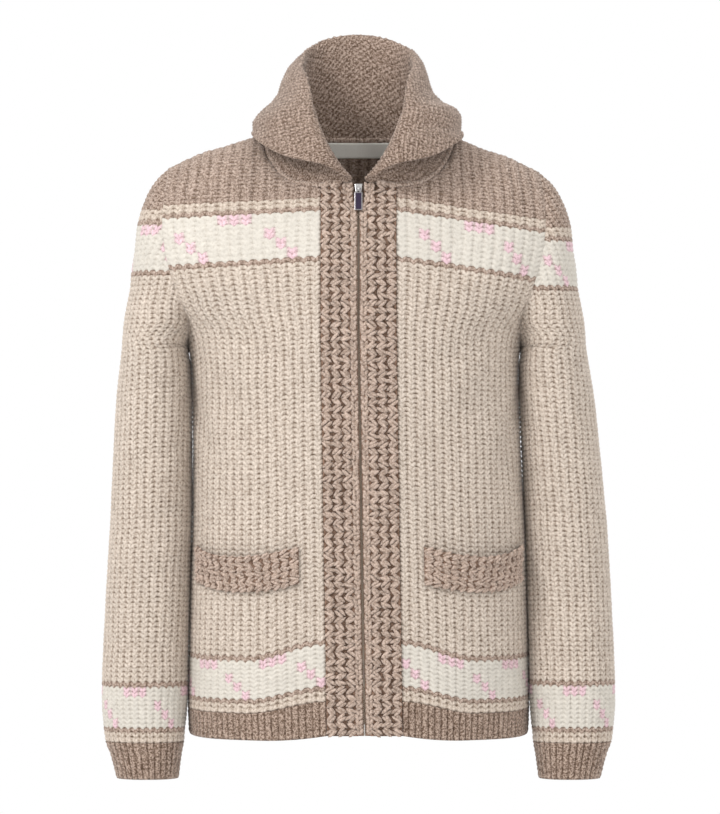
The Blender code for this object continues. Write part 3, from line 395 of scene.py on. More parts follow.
def armhole_normal(point):
    """The armhole loop's outward direction, the same for body and sleeve, so the seams' walls agree."""
    return unit(np.array([0.0, point[1] / ARMHOLE_HALF_DEPTH ** 2,
                          (point[2] - ARMHOLE_MIDDLE) / ARMHOLE_HALF_HEIGHT ** 2]))


def without(normal, axis):
    """A normal turned into a seam's plane."""
    flat = normal.copy()
    flat[axis] = 0
    return unit(flat)


def step_back(edge, neighbour):
    """Draw an edge row or column back from its seam by half the seam's gap."""
    pull = neighbour - edge
    length = np.linalg.norm(pull, axis=-1, keepdims=True)
    return edge + pull / np.where(length > 1e-9, length, 1) * SEAM_GAP / 2


def mirror_x(grid, side):
    """Turn a grid drawn on the wearer's left to the given side."""
    turned = grid.copy()
    turned[..., 0] *= side
    return turned


def outward(grid, normal, centre):
    """Flip normals so that they point away from the garment's middle."""
    facing = np.sum(normal * (grid - centre), axis=2)
    return normal if np.median(facing) > 0 else -normal


def away_from_axis(grid, normal, axis):
    """Flip a tube's normals so that they point away from its upright axis."""
    reach = grid - np.array([*axis, 0])
    reach[..., 2] = 0
    return -normal if np.median(np.sum(normal * reach, axis=2)) < 0 else normal


def hem_bottom(share):
    """The hem rises a little to the zip and to the side seam."""
    to_zip = max(0.0, 1 - share / HEM_ZIP_END)
    to_side = max(0.0, (share - HEM_SIDE_START) / (1 - HEM_SIDE_START))
    return HEM_BOTTOM + HEM_RISE_AT_ZIP * to_zip ** 2 + HEM_RISE_AT_SIDE * to_side ** 2


def arm_half(z, shares):
    """Front-half points of the arm's ring at a level, from the seam (0) to the outermost line (1)."""
    centre_x = arm_value("centre_x", z)
    half_width = arm_value("half_width", z)
    start = 0.0
    if z > UNDERARM:
        reach = np.clip((centre_x - arm_value("seam_x", z)) / half_width, 0, 1)
        start = math.acos(float(reach) ** (ARM_POWER / 2))
    angle = np.linspace(start, math.pi, SECTION_POINTS)
    ring = np.stack([
        centre_x - half_width * power_cos(angle, ARM_POWER),
        -arm_value("half_depth", z) * power_sin(angle, ARM_POWER),
        np.full(SECTION_POINTS, z)], axis=1)
    return along(ring, shares)


def sleeve_point(column, z):
    """A crest point of the sleeve: column runs 0 underarm, 0.25 front, 0.5 outermost, 0.75 back."""
    front = column <= 0.5
    from_seam = column if front else 1 - column
    ended = float(arm_value("seam_column", z))
    share = np.clip((from_seam - ended) / max(1e-6, 0.5 - ended), 0, 1)
    point = arm_half(z, [share])[0]
    if not front:
        point[1] *= -1
    point[1] += float(arm_value("centre_y", z))
    return point


def sleeve_top(column):
    """The level at which a sleeve column ends on the armhole seam."""
    levels = np.linspace(UNDERARM, SHOULDER_TIP, 200)
    ended = arm_value("seam_column", levels)
    return float(np.interp(min(column, 1 - column), ended, levels))


def collar_middle():
    """The collar's middle surface: an arch from the neck seam over the roll to the loose edge."""
    knots = {"station": tuple(range(len(COLLAR["seam_x"])))}
    knots.update(COLLAR)
    last = len(COLLAR["seam_x"]) - 1
    half = []
    for station in np.linspace(0, last, COLLAR_STATIONS):
        points = {}
        for part in ("seam", "roll", "edge"):
            place = [float(read(knots, "station", station, part + "_" + axis)) for axis in "xyz"]
            points[part] = np.array(place)
        middle = (points["seam"] + points["edge"]) / 2
        reach = points["seam"] - middle
        rise = points["roll"] - middle
        angle = np.linspace(0, math.pi, COLLAR_POINTS)
        half.append(middle + reach * power_cos(angle, COLLAR_ARCH_POWER)[:, None]
                    + rise * power_sin(angle, COLLAR_ARCH_POWER)[:, None])
    left = np.array(half)
    right = mirror_x(left, -1)
    return np.concatenate([left, right[-2::-1]], axis=0)


def front_y(x, z):
    """The front's crest surface near the zip."""
    depth = FRONT["depth"](z)
    return -depth + (trunk_edge_y(z) + depth) * (x / BAND_EDGE) ** 2


def trunk_edge_y(z):
    """The front's crest surface at the band's seam."""
    join = FRONT["join"]
    if z <= join:
        return float(lower_points(FRONT, [0], z, 0)[0][1])
    base = lower_points(FRONT, [0, FRONT["share"]], join, 0)
    top_z = float(read(FRONT_TOP, "x", BAND_EDGE, "z"))
    rise = min(1.0, (z - join) / (top_z - join))
    return float(upper_point(FRONT, 0.0, rise, (base[0], base[0], base[1]))[1])


# The part of the back's rise in which the label's place is looked for
NEAR_NECK = 0.7


def label_y(x, z):
    """Just inside the back's wall, at a place across and a level near the neck."""
    join = BACK["join"]
    base = lower_points(BACK, [0, BACK["share"]], join, 0)
    share = abs(x) / SHOULDER_TIP_X * BACK["share"]
    low = lower_points(BACK, [share], join, 0)[0]
    rises = np.linspace(NEAR_NECK, 1, 25)
    line = np.array([upper_point(BACK, share, rise, (base[0], low, base[1])) for rise in rises])
    line[:, 1] *= -1
    run = np.gradient(line, axis=0)
    length = np.hypot(run[:, 1], run[:, 2])
    inside_y = line[:, 1] - WALL * run[:, 2] / length
    inside_z = line[:, 2] + WALL * run[:, 1] / length
    return float(np.interp(z, inside_z, inside_y)) - LABEL_THICKNESS - LABEL_CLEARANCE


FRONT = make_side("front", "front_depth", lambda z: BAND_EDGE, FRONT_TOP, FRONT_RIBS_UP, FRONT_RIBS_SIDE)
BACK = make_side("back", "back_depth", lambda z: 0.0, BACK_TOP, BACK_RIBS_UP, BACK_RIBS_SIDE)
# Shares of the way up from the join at which a panel's lines are drawn
UP_RISES = (0.05, 0.12, 0.20, 0.29, 0.38, 0.47, 0.56, 0.65, 0.73, 0.80, 0.86, 0.91, 0.95, 0.98, 1.0)

# A chunky rib: places across one rib, how many rows the V's legs climb there, the row's lines,
# and the depth in millimetres under the crest at each place and line. The deepest hollow gets the
# full painted shade, and inside is the number of columns to one inner face
CHUNKY = {
    "place": (0.0, 0.17, 0.335, 0.5, 0.665, 0.83),
    "climb": (0.5, 0.52, 0.28, 0.0, 0.28, 0.52),
    "line": (0.0, 0.28, 0.72),
    "depth": ((3.3, 1.7, 1.5), (2.3, 0.8, 0.7), (1.2, 0.0, 0.1),
              (1.7, 0.9, 0.7), (1.2, 0.0, 0.1), (2.3, 0.8, 0.7)),
    "deepest": 3.2,
    "inside": 2,
}
# The same rib with two lines to a row, for the back, which is the widest piece
BACK_CHUNKY = dict(
    CHUNKY, line=(0.0, 0.5),
    depth=((3.3, 1.6), (2.3, 0.75), (1.2, 0.0), (1.7, 0.8), (1.2, 0.0), (2.3, 0.75)))
# A fine rib for hem and cuffs
FINE = {
    "place": (0.0, 0.25, 0.5, 0.75),
    "climb": (0.5, 0.4, 0.0, 0.4),
    "line": (0.0, 0.5),
    "depth": ((2.4, 2.0), (0.9, 0.1), (1.1, 0.5), (0.9, 0.1)),
    "deepest": 2.4,
    "inside": 2,
}
# Moss stitch for the collar: a bump on every other cell, stitched on both faces
MOSS = {
    "place": (0.0, 0.5),
    "climb": (0.0, 0.0),
    "line": (0.0, 0.5),
    "ground": 1.2,
    "deepest": 2.1,
    "inside": 1,
}
ROW_PITCH = 0.0056
FINE_PITCH = 0.0050
MOSS_PITCH = 0.0034
# Rows drawn on past a line's last knot, and how near its end, in rows, a row ends a line
ROWS_BEYOND = 100
LAST_ROW_NEAR = 0.2

# Unevenness in millimetres: a stitch's depth, a bump's depth, and how far a stitch lies out of line
DEPTH_SPREAD = 0.11
BUMP_SPREAD = 0.25
LINE_SPREAD = 0.30
# The share of a bump's unevenness that the ground between bumps has
GROUND_SPREAD = 0.4
# A rib's slow and quick sway in millimetres, and the fewest and most waves of each up a rib
SLOW_SWAY = 0.35
SLOW_WAVES = (2, 4)
QUICK_SWAY = 0.22
QUICK_WAVES = (7, 12)

# Depths of the stitches on an armhole seam and on a panel's top edge
SEAM_DEPTH = 0.0005
TOP_EDGE_DEPTH = 0.0012

# Painted shade in the hollows between stitches: its strength, its tint, how it grows with depth,
# its share on a wall's inside, and how it softens on yarn that is paler than the first of two values
CAVITY = 0.74
CAVITY_TINT = np.array((0.92, 1.0, 1.06))
CAVITY_POWER = 1.15
CAVITY_INSIDE = 0.8
PALE_FROM = 0.505
PALE_TO = 0.55
PALE_SOFTER = 0.82
# How much of a mark's colour shows at each place across its rib
MARK_SHARE = np.array((0.4, 0.8, 1.0, 0.95, 1.0, 0.8))


def linear(red, green, blue):
    """A colour given as it shows on a screen, in linear light."""
    shown = np.array((red, green, blue)) / 255
    return np.where(shown <= 0.04045, shown / 12.92, ((shown + 0.055) / 1.055) ** 2.4)


YARN = {
    "taupe": linear(164, 145, 132),
    "fine": linear(156, 136, 122),
    "beige": linear(200, 187, 174),
    "light": linear(199, 185, 171),
    "cream": linear(202, 196, 186),
    "pink": linear(219, 187, 195),
}

BAND_YARN = YARN["taupe"] * 1.10
# The ground under the band's and the welts' strokes: the yarn darkened with painted shade, as it shows in
# the holes between the strokes
SHADED_GROUND_YARN = linear(116, 92, 77)
TAPE_YARN = linear(150, 128, 112)
LABEL_YARN = linear(252, 249, 240)
LABEL_THREAD = linear(190, 178, 160)

# Stripes by row: two light, one dark, nine cream, one dark, then plain, and the same upside down above
CHART_ROWS = 140
LIGHT_ROWS = 2
CREAM_ROWS = 9
LOW_CREAM = LIGHT_ROWS + 1
# The row of the dark line under the upper stripe
BODY_TOP_DARK = 91
SLEEVE_TOP_DARK = {1: 93, -1: 96}
# The pink marks: places across the repeat of eight ribs, and rows down from the cream's top
REPEAT_RIBS = 8
MARK_ROWS = 2
MARKS = ((0, 0), (1, 0), (2, 0), (4, 3), (5, 5), (6, 7))
# How each piece's ribs run through the repeat: forwards or backwards, and from which place in the
# lower and the upper stripe
REPEAT_RUN = {
    "front_left": (1, 4, 2),
    "front_right": (-1, 6, 0),
    "sleeve_left": (1, 1, 3),
    "sleeve_right": (-1, 2, 5),
    "back": (-1, 5, 3),
}


def length_of_row(line, knots, pitch, row):
    """How far along a line a row lies: through the knots (row, level), then on at the pitch."""
    length = run_of(line)
    rows = []
    places = []
    for knot, level in knots:
        beyond = max(0.0, level - line[-1, 2])
        rows.append(knot)
        places.append(float(np.interp(level, line[:, 2], length)) + beyond)
    rows.append(rows[-1] + ROWS_BEYOND)
    places.append(places[-1] + ROWS_BEYOND * pitch)
    return np.interp(row, rows, places)


def row_grid(lines, knots, pitch, style):
    """Row lines drawn across the lines of a piece, and each line's last row line."""
    per_rib = len(style["place"])
    per_row = len(style["line"])
    most = CHART_ROWS * per_row
    steps = np.arange(most)
    plain = steps // per_row + np.array(style["line"])[steps % per_row]
    grid = np.zeros((most, len(lines), 3))
    last = np.zeros(len(lines), int)
    for column, line in enumerate(lines):
        climb = style["climb"][column % per_rib] * np.minimum(1, plain)
        place = length_of_row(line, knots(column), pitch, plain + climb)
        length = run_of(line)
        last[column] = int(np.searchsorted(place, length[-1] - LAST_ROW_NEAR * pitch / per_row))
        place = np.minimum(place, length[-1])
        place[last[column]:] = length[-1]
        grid[:, column] = curve_at(line, length, place)
    return grid[:last.max() + 1], last


def grid_normals(grid, last, ring=False):
    """Unit normals of a grid whose columns end at their own last row."""
    if ring:
        across = np.roll(grid, -1, axis=1) - np.roll(grid, 1, axis=1)
    else:
        across = np.gradient(grid, axis=1)
    normal = np.cross(across, np.gradient(grid, axis=0))
    for column, end in enumerate(last):
        normal[max(0, end - 1):, column] = normal[max(0, end - 2), column]
    size = np.linalg.norm(normal, axis=2, keepdims=True)
    return normal / np.where(size > 1e-15, size, 1)


def stitch_depth(shape, style, seed):
    """Depths under the crest for each point of a grid, a little uneven from stitch to stitch."""
    rng = np.random.default_rng(seed)
    rows, columns = shape
    rib = np.arange(columns)[None, :]
    row = np.arange(rows)[:, None]
    per_rib = len(style["place"])
    per_row = len(style["line"])
    depth = np.array(style["depth"])[rib % per_rib, row % per_row]
    uneven = rng.normal(0, DEPTH_SPREAD, (rows // per_row + 2, columns // per_rib + 2))
    return np.maximum(0, depth + uneven[row // per_row, rib // per_rib]) / 1000


def moss_depth(shape, seed):
    """Depths of moss stitch: bumps on the cells whose column and row are both odd or both even."""
    rng = np.random.default_rng(seed)
    column = np.arange(shape[1])[None, :]
    row = np.arange(shape[0])[:, None]
    middle = (column % 2 == 1) & (row % 2 == 1)
    raised = middle & ((column // 2 + row // 2) % 2 == 0)
    depth = np.where(raised, 0.0, np.where(middle, MOSS["deepest"], MOSS["ground"]))
    uneven = rng.normal(0, BUMP_SPREAD, shape) * np.where(middle, 1.0, GROUND_SPREAD)
    return np.clip(depth + uneven, 0, MOSS["deepest"]) / 1000


def swayed(grid, last, style, seed, ring=False):
    """The grid with each rib swaying a little sideways and each stitch out of line; borders stay."""
    rng = np.random.default_rng(seed)
    rows, columns = grid.shape[:2]
    per_rib = len(style["place"])
    per_row = len(style["line"])
    across = np.roll(grid, -1, axis=1) - np.roll(grid, 1, axis=1)
    size = np.linalg.norm(across, axis=2, keepdims=True)
    across = across / np.where(size > 1e-9, size, 1)
    rib = np.arange(columns) // per_rib
    row = np.arange(rows)
    sway = np.zeros((rows, rib[-1] + 2))
    for each in range(rib[-1] + 2):
        slow = rng.uniform(*SLOW_WAVES)
        quick = rng.uniform(*QUICK_WAVES)
        for waves, amount in ((slow, SLOW_SWAY), (quick, QUICK_SWAY)):
            sway[:, each] += amount * np.sin(2 * math.pi * (waves * row / rows + rng.uniform(0, 1)))
    out_of_line = rng.normal(0, LINE_SPREAD, (rows // per_row + 2, columns // per_rib + 2))
    moved = (sway[:, rib] + out_of_line[(row // per_row)[:, None], rib[None, :]]) / 1000
    moved[:2] = 0
    for column, end in enumerate(last):
        moved[max(0, end - 2):, column] = 0
    if not ring:
        moved[:, :2] = 0
        moved[:, -2:] = 0
    return grid + across * moved[..., None]


def wall_faces(shape, blocks, style):
    """The faces of a closed knitted wall: fine stitched outside, coarser inside, rims between them.

    Returns each face's point numbers, its corners' rows and columns, its cell, and its side, 0 for
    the outside and 1 for the inside.
    """
    rows, columns = shape
    coarse = style["inside"]
    inner_step = 1 if coarse == 1 else len(style["line"])
    faces = []
    corners = []
    cells = []
    sides = []

    def number(place, side):
        row, column = place
        return side * rows * columns + row * columns + column % columns

    def skin(first, end, tops, side, row_step, column_step):
        """One side's faces, without the corners that fall together where a column ends."""
        row, column = np.meshgrid(np.arange(0, tops.max(), row_step), np.arange(first, end, column_step),
                                  indexing="ij")
        row = row.ravel()
        column = column.ravel()
        there = row < np.maximum(tops[column - first], tops[column + column_step - first])
        row = row[there]
        column = column[there]
        top_here = tops[column - first]
        top_next = tops[column + column_step - first]
        after = column + column_step
        above = row + row_step
        outline_rows = np.stack([np.minimum(row, top_here), np.minimum(row, top_next),
                                 np.minimum(above, top_next), np.minimum(above, top_here)], axis=1)
        outline_columns = np.stack([column, after, after, column], axis=1)
        order = [0, 1, 2, 3] if side == 0 else [0, 3, 2, 1]
        outlines = np.stack([outline_rows, outline_columns], axis=2)[:, order].tolist()
        for outline, cell in zip(outlines, zip(row.tolist(), column.tolist())):
            corner = list(dict.fromkeys(tuple(place) for place in outline))
            if len(corner) > 2:
                faces.append([number(place, side) for place in corner])
                corners.append(corner)
                cells.append(cell)
                sides.append(side)

    def rim(outside, inside):
        faces.append([number(place, 0) for place in outside] + [number(place, 1) for place in inside])
        corners.append(outside + inside)
        cells.append((min(row for row, column in outside), min(column for row, column in outside)))
        sides.append(0)

    for first, end, tops, left, right in blocks:
        skin(first, end, tops, 0, 1, 1)
        skin(first, end, tops, 1, inner_step, coarse)
        for column in range(first, end, coarse):
            after = column + coarse
            span = list(range(column, after + 1))
            rim([(0, c) for c in reversed(span)], [(0, column), (0, after)])
            rim([(int(tops[c - first]), c) for c in span],
                [(int(tops[after - first]), after), (int(tops[column - first]), column)])
        for start, column, turned in ((left, first, False), (right, end, True)):
            if start is None:
                continue
            top = int(tops[column - first])
            for low in range(start, top, inner_step):
                high = min(low + inner_step, top)
                outside = [(r, column) for r in range(low, high + 1)]
                inside = [(high, column), (low, column)]
                if turned:
                    outside.reverse()
                    inside.reverse()
                rim(outside, inside)
    return faces, corners, cells, sides


def knit_colours(corner, cell, side, depth, style, chart):
    """Each corner's yarn colour: the chart's, with the marks mixed in and painted shade in the hollows."""
    per_rib = len(style["place"])
    shown = chart[np.minimum(cell[:, 0] // len(style["line"]), chart.shape[0] - 1),
                  np.minimum(cell[:, 1] // per_rib, chart.shape[1] - 1)]
    mark = np.all(np.isclose(shown, YARN["pink"]), axis=1)
    share = np.where(mark, MARK_SHARE[corner[:, 1] % per_rib], 1)[:, None]
    shown = np.where(mark[:, None], YARN["cream"] * (1 - share) + shown * share, shown)
    # Painted shade: the hollows between stitches darkened by their depth, less on the inside and on pale
    # yarn
    hollow = np.clip(depth * 1000 / style["deepest"], 0, 1) ** CAVITY_POWER
    painted_shade = hollow[corner[:, 0], corner[:, 1] % depth.shape[1]]
    painted_shade = painted_shade * np.where((side == 0) | (style["inside"] == 1), 1.0, CAVITY_INSIDE)
    pale = np.clip((shown[:, 1] - PALE_FROM) / (PALE_TO - PALE_FROM), 0, 1)
    painted_shade = painted_shade * (1 - PALE_SOFTER * pale)
    return shown * (1 - CAVITY * CAVITY_TINT[None, :] * painted_shade[:, None])


def stitch_map(corner, style):
    """Each corner's place on the cloth, in ribs across and rows up."""
    per_rib = len(style["place"])
    per_row = len(style["line"])
    across = corner[:, 1] // per_rib + np.append(np.array(style["place"]), 1.0)[corner[:, 1] % per_rib]
    up = corner[:, 0] // per_row + np.array(style["line"])[corner[:, 0] % per_row]
    return np.stack([across, up], axis=1)


def faces_away(first, second, third, out):
    """Whether a face with these corners looks away from a direction."""
    return np.dot(np.cross(second - first, third - first), out) < 0


def cloth_object(name, points, faces, colours, stitch=None, turned=False):
    """An object with its yarn colour and its Stitch map at each face's corners, faces turned if asked."""
    mesh = bpy.data.meshes.new(name)
    mesh.from_pydata(points, [], faces)
    yarn = mesh.color_attributes.new("Yarn", "FLOAT_COLOR", "CORNER")
    yarn.data.foreach_set("color", np.concatenate([colours, np.ones((len(colours), 1))], axis=1).ravel())
    if stitch is not None:
        mesh.uv_layers.new(name="Stitch").data.foreach_set("uv", stitch.ravel())
    if turned:
        mesh.flip_normals()
    mesh.shade_smooth()
    mesh.update()
    piece = bpy.data.objects.new(name, mesh)
    bpy.context.scene.collection.objects.link(piece)
    return piece


def knitted(name, grid, normal, depth, blocks, style, chart, wall):
    """A closed knitted wall with its stitches, colours and map.

    blocks are (first column, last column, last row of each, left rim from, right rim from).
    """
    outer = grid - normal * depth[..., None]
    inner = grid - normal * ((wall - depth)[..., None] if style["inside"] == 1 else wall)
    points = np.concatenate([outer.reshape(-1, 3), inner.reshape(-1, 3)])
    faces, corners, cells, sides = wall_faces(grid.shape[:2], blocks, style)
    used = np.zeros(len(points), bool)
    for face in faces:
        used[face] = True
    number = np.cumsum(used) - 1
    counts = np.array([len(corner) for corner in corners])
    corner = np.array([place for corner in corners for place in corner])
    cell = np.repeat(np.array(cells), counts, axis=0)
    side = np.repeat(np.array(sides), counts)
    row = min(grid.shape[0] - 2, 6)
    column = grid.shape[1] // 3
    turned = faces_away(outer[row, column], outer[row, column + 1], outer[row + 1, column],
                        normal[row, column])
    colours = knit_colours(corner, cell, side, depth, style, chart)
    numbered = [[int(number[v]) for v in face] for face in faces]
    return cloth_object(name, points[used].tolist(), numbered, colours, stitch_map(corner, style), turned)


def stripe_chart(ribs, top_dark, way, low_start, high_start, bare=()):
    """A piece's chart of stripes and marks; bare names ribs of the upper stripe without a mark."""
    chart = np.tile(YARN["taupe"], (CHART_ROWS, ribs, 1))
    high_cream = top_dark + 1
    high_light = high_cream + CREAM_ROWS + 1
    chart[LOW_CREAM + CREAM_ROWS + 1:top_dark] = YARN["beige"]
    chart[:LIGHT_ROWS] = YARN["light"]
    chart[high_light:high_light + LIGHT_ROWS] = YARN["light"]
    for cream, start, unmarked in ((LOW_CREAM, low_start, ()), (high_cream, high_start, bare)):
        chart[cream:cream + CREAM_ROWS] = YARN["cream"]
        for rib in range(ribs):
            for place, from_top in MARKS:
                if rib not in unmarked and (start + way * rib) % REPEAT_RIBS == place:
                    top = cream + CREAM_ROWS - from_top
                    chart[top - MARK_ROWS:top, rib] = YARN["pink"]
    return chart


def plain_chart(colour):
    """A chart of one yarn."""
    return np.tile(YARN[colour], (2, 2, 1))


# Row levels up a front at the band's seam, at the armhole for each side, and at the side seam
FRONT_ROWS = (0, 12, 92, 101, 104)
FRONT_LEVELS = {
    "band": (-0.6499, -0.5876, -0.1501, -0.0981, -0.0829),
    -1: (-0.6647, -0.6076, -0.1600, -0.1056, -0.0897),
    1: (-0.6647, -0.6076, -0.1736, -0.1220, -0.1063),
    "side": (-0.6620, -0.6050, -0.1680, -0.1160, -0.1000),
}
# Row levels up each sleeve: a row and its level
SLEEVE_LEVELS = {
    1: ((0, -0.7010), (12, -0.6376), (94, -0.1821), (103, -0.1309), (106, -0.1150)),
    -1: ((0, -0.7010), (12, -0.6393), (97, -0.1650), (106, -0.1127), (109, -0.0942)),
}
# Shares of the way round a front where the rise to the band ends and the fall to the side starts
BAND_RISE_END = 0.42
SIDE_FALL_START = 0.7


def front_levels(share, side_sign):
    """Row levels of a front's column: they rise towards the band, most of all near the hem."""
    band = np.array(FRONT_LEVELS["band"])
    middle = np.array(FRONT_LEVELS[side_sign])
    edge = np.array(FRONT_LEVELS["side"])
    if share > SIDE_FALL_START:
        return middle + (edge - middle) * (share - SIDE_FALL_START) / (1 - SIDE_FALL_START)
    soft = smooth(min(1.0, share / BAND_RISE_END))
    even = min(1.0, share / SIDE_FALL_START)
    return band + (middle - band) * np.array((soft, soft, even, even, even))


def column_shares(ribs, style):
    """Shares of the way round for every line of every rib."""
    places = np.array(style["place"])
    shares = (np.arange(ribs)[:, None] + places[None, :]).ravel() / ribs
    return np.append(shares, 1.0)


def panel_line(side, share, mirror, foot):
    """A crest line of a panel from its hem seam up to its end on a seam or the neckline."""
    is_up = share <= side["share"] + 1e-9
    top = side["join"] if is_up else column_top(side, share)
    low = [lower_points(side, [share], z, mirror)[0] for z in np.linspace(foot, top, 18)]
    if not is_up:
        return np.array(low)
    ends = lower_points(side, [0, side["share"]], side["join"], mirror)
    return np.array(low + [upper_point(side, share, rise, (ends[0], low[-1], ends[1])) for rise in UP_RISES])


# As worn, both shoulders lie a little to one side and the left one lower
SHOULDERS_ASIDE = 0.0052
LEFT_SHOULDER_LOWER = 0.0048
# Where they start to move, by distance from the middle and by level, and over how much
ASIDE_FROM = 0.10
ASIDE_BLEND = 0.10
ASIDE_LEVELS = (-0.45, -0.25)
LOWER_FROM = 0.085
LOWER_BLEND = 0.055
LOWER_LEVELS = (-0.11, -0.045)

# Soft creases: the two ends of each, its half width and its depth, a trough if above nought
CREASES = (
    ((0.150, -0.085, -0.235), (0.085, -0.125, -0.275), 0.016, 0.0022),
    ((-0.150, -0.085, -0.235), (-0.080, -0.125, -0.270), 0.016, 0.0024),
    ((0.160, -0.080, -0.300), (0.100, -0.120, -0.350), 0.018, 0.0014),
    ((-0.165, -0.075, -0.290), (-0.110, -0.118, -0.345), 0.018, 0.0015),
    ((0.190, -0.020, -0.290), (0.160, -0.080, -0.400), 0.014, 0.0020),
    ((-0.190, -0.020, -0.285), (-0.160, -0.080, -0.390), 0.014, 0.0020),
    ((0.150, 0.085, -0.240), (0.080, 0.120, -0.290), 0.018, 0.0024),
    ((-0.150, 0.085, -0.235), (-0.085, 0.120, -0.280), 0.018, 0.0022),
    ((0.060, 0.122, -0.420), (-0.040, 0.124, -0.450), 0.026, 0.0020),
    ((0.215, -0.060, -0.300), (0.262, -0.040, -0.330), 0.011, 0.0022),
    ((0.200, -0.050, -0.350), (0.255, -0.052, -0.385), 0.011, 0.0020),
    ((0.205, -0.055, -0.430), (0.270, -0.045, -0.450), 0.012, 0.0024),
    ((0.200, -0.050, -0.480), (0.262, -0.052, -0.505), 0.012, 0.0018),
    ((0.215, -0.060, -0.610), (0.280, -0.045, -0.590), 0.012, 0.0020),
    ((0.205, -0.055, -0.660), (0.285, -0.035, -0.645), 0.012, 0.0020),
    ((-0.215, -0.060, -0.305), (-0.262, -0.040, -0.335), 0.011, 0.0022),
    ((-0.200, -0.050, -0.360), (-0.258, -0.052, -0.390), 0.011, 0.0020),
    ((-0.205, -0.055, -0.440), (-0.270, -0.045, -0.455), 0.012, 0.0022),
    ((-0.205, -0.055, -0.500), (-0.268, -0.050, -0.520), 0.012, 0.0018),
    ((-0.210, -0.060, -0.600), (-0.282, -0.045, -0.590), 0.012, 0.0020),
    ((-0.205, -0.055, -0.655), (-0.285, -0.035, -0.640), 0.012, 0.0022),
    ((0.215, 0.060, -0.310), (0.262, 0.045, -0.340), 0.012, 0.0022),
    ((-0.215, 0.060, -0.315), (-0.262, 0.045, -0.345), 0.012, 0.0022),
    ((0.210, 0.045, -0.450), (0.268, 0.040, -0.470), 0.013, 0.0022),
    ((-0.210, 0.045, -0.455), (-0.268, 0.040, -0.475), 0.013, 0.0022),
    ((0.215, 0.030, -0.620), (0.280, 0.025, -0.605), 0.013, 0.0020),
    ((-0.215, 0.030, -0.625), (-0.280, 0.025, -0.605), 0.013, 0.0020),
)


# A crease's depth at its ends, and the ridge beside it: its height and how far it lies away, as
# shares of the crease's depth and half width
CREASE_ENDS = 0.35
RIDGE_HEIGHT = 0.45
RIDGE_AWAY = 1.9


def creased(grid, normal, side_sign=1):
    """The grid pressed in along the creases; side_sign tells where a grid drawn on the left goes."""
    there = mirror_x(grid, side_sign)
    pressed = np.zeros(grid.shape[:2])
    for start, end, half_width, depth in CREASES:
        start = np.array(start)
        way = np.array(end) - start
        share = np.clip(((there - start) @ way) / (way @ way), 0, 1)
        away = np.linalg.norm(there - start - share[..., None] * way, axis=2)
        taper = CREASE_ENDS + (1 - CREASE_ENDS) * np.sin(math.pi * share)
        pressed += depth * taper * np.exp(-(away / half_width) ** 2)
        ridge = np.exp(-((away - RIDGE_AWAY * half_width) / half_width) ** 2)
        pressed -= RIDGE_HEIGHT * depth * taper * ridge
    return grid - normal * pressed[..., None]


def as_worn(grid):
    """The grid with its shoulders as worn: both a little to one side, the left one lower."""
    x = grid[..., 0]
    z = grid[..., 2]
    settled = grid.copy()
    aside = np.clip((np.abs(x) - ASIDE_FROM) / ASIDE_BLEND, 0, 1) * np.interp(z, ASIDE_LEVELS, (0, 1))
    settled[..., 0] -= SHOULDERS_ASIDE * aside
    lower = np.clip((x - LOWER_FROM) / LOWER_BLEND, 0, 1) * np.interp(z, LOWER_LEVELS, (0, 1))
    settled[..., 2] -= LEFT_SHOULDER_LOWER * lower
    return settled


def panel_normals(grid, last, seam):
    """Unit normals of a panel, with the part up to its armhole seam worked out by itself."""
    normal = grid_normals(grid, last)
    normal[:, :seam + 1] = grid_normals(grid[:, :seam + 1], last[:seam + 1])
    return normal


def join_row(heights, side, style):
    """The first whole row from a panel's join upwards, where its armhole seam starts."""
    per_row = len(style["line"])
    above = int(np.argmax(heights > side["join"] - 0.001))
    return -(-above // per_row) * per_row


def inside_seams(moved, grid):
    """A panel drawn back from the seams at its sides and its foot."""
    drawn = moved.copy()
    drawn[:, 0] = step_back(grid[:, 0], grid[:, 1])
    drawn[:, -1] = step_back(grid[:, -1], grid[:, -2])
    drawn[0] = step_back(drawn[0], grid[1])
    return drawn


def top_edge(columns, grid, last, normal, drawn, depth):
    """End a panel's columns on the neckline or, past the neck point, in the shoulder seam's plane."""
    for column in columns:
        end = last[column]
        drawn[end, column] = step_back(drawn[end, column], grid[end - 1, column])
        if abs(grid[end, column, 0]) > NECK_POINT_X:
            normal[end, column] = without(normal[end, column], 1)
            drawn[end, column, 1] = 0
        depth[end, column] = max(depth[end, column], TOP_EDGE_DEPTH)


def armhole_edge(cells, grid, normal, depth):
    """Turn the cells on an armhole seam the way of the seam, with shallow stitches."""
    for row, column in cells:
        normal[row, column] = armhole_normal(grid[row, column])
        depth[row, column] = SEAM_DEPTH


def level_top(grid, drawn, normal, last):
    """End every column on a level seam."""
    for column, end in enumerate(last):
        normal[end, column] = without(normal[end, column], 2)
        drawn[end, column] = step_back(grid[end, column], grid[end - 1, column])


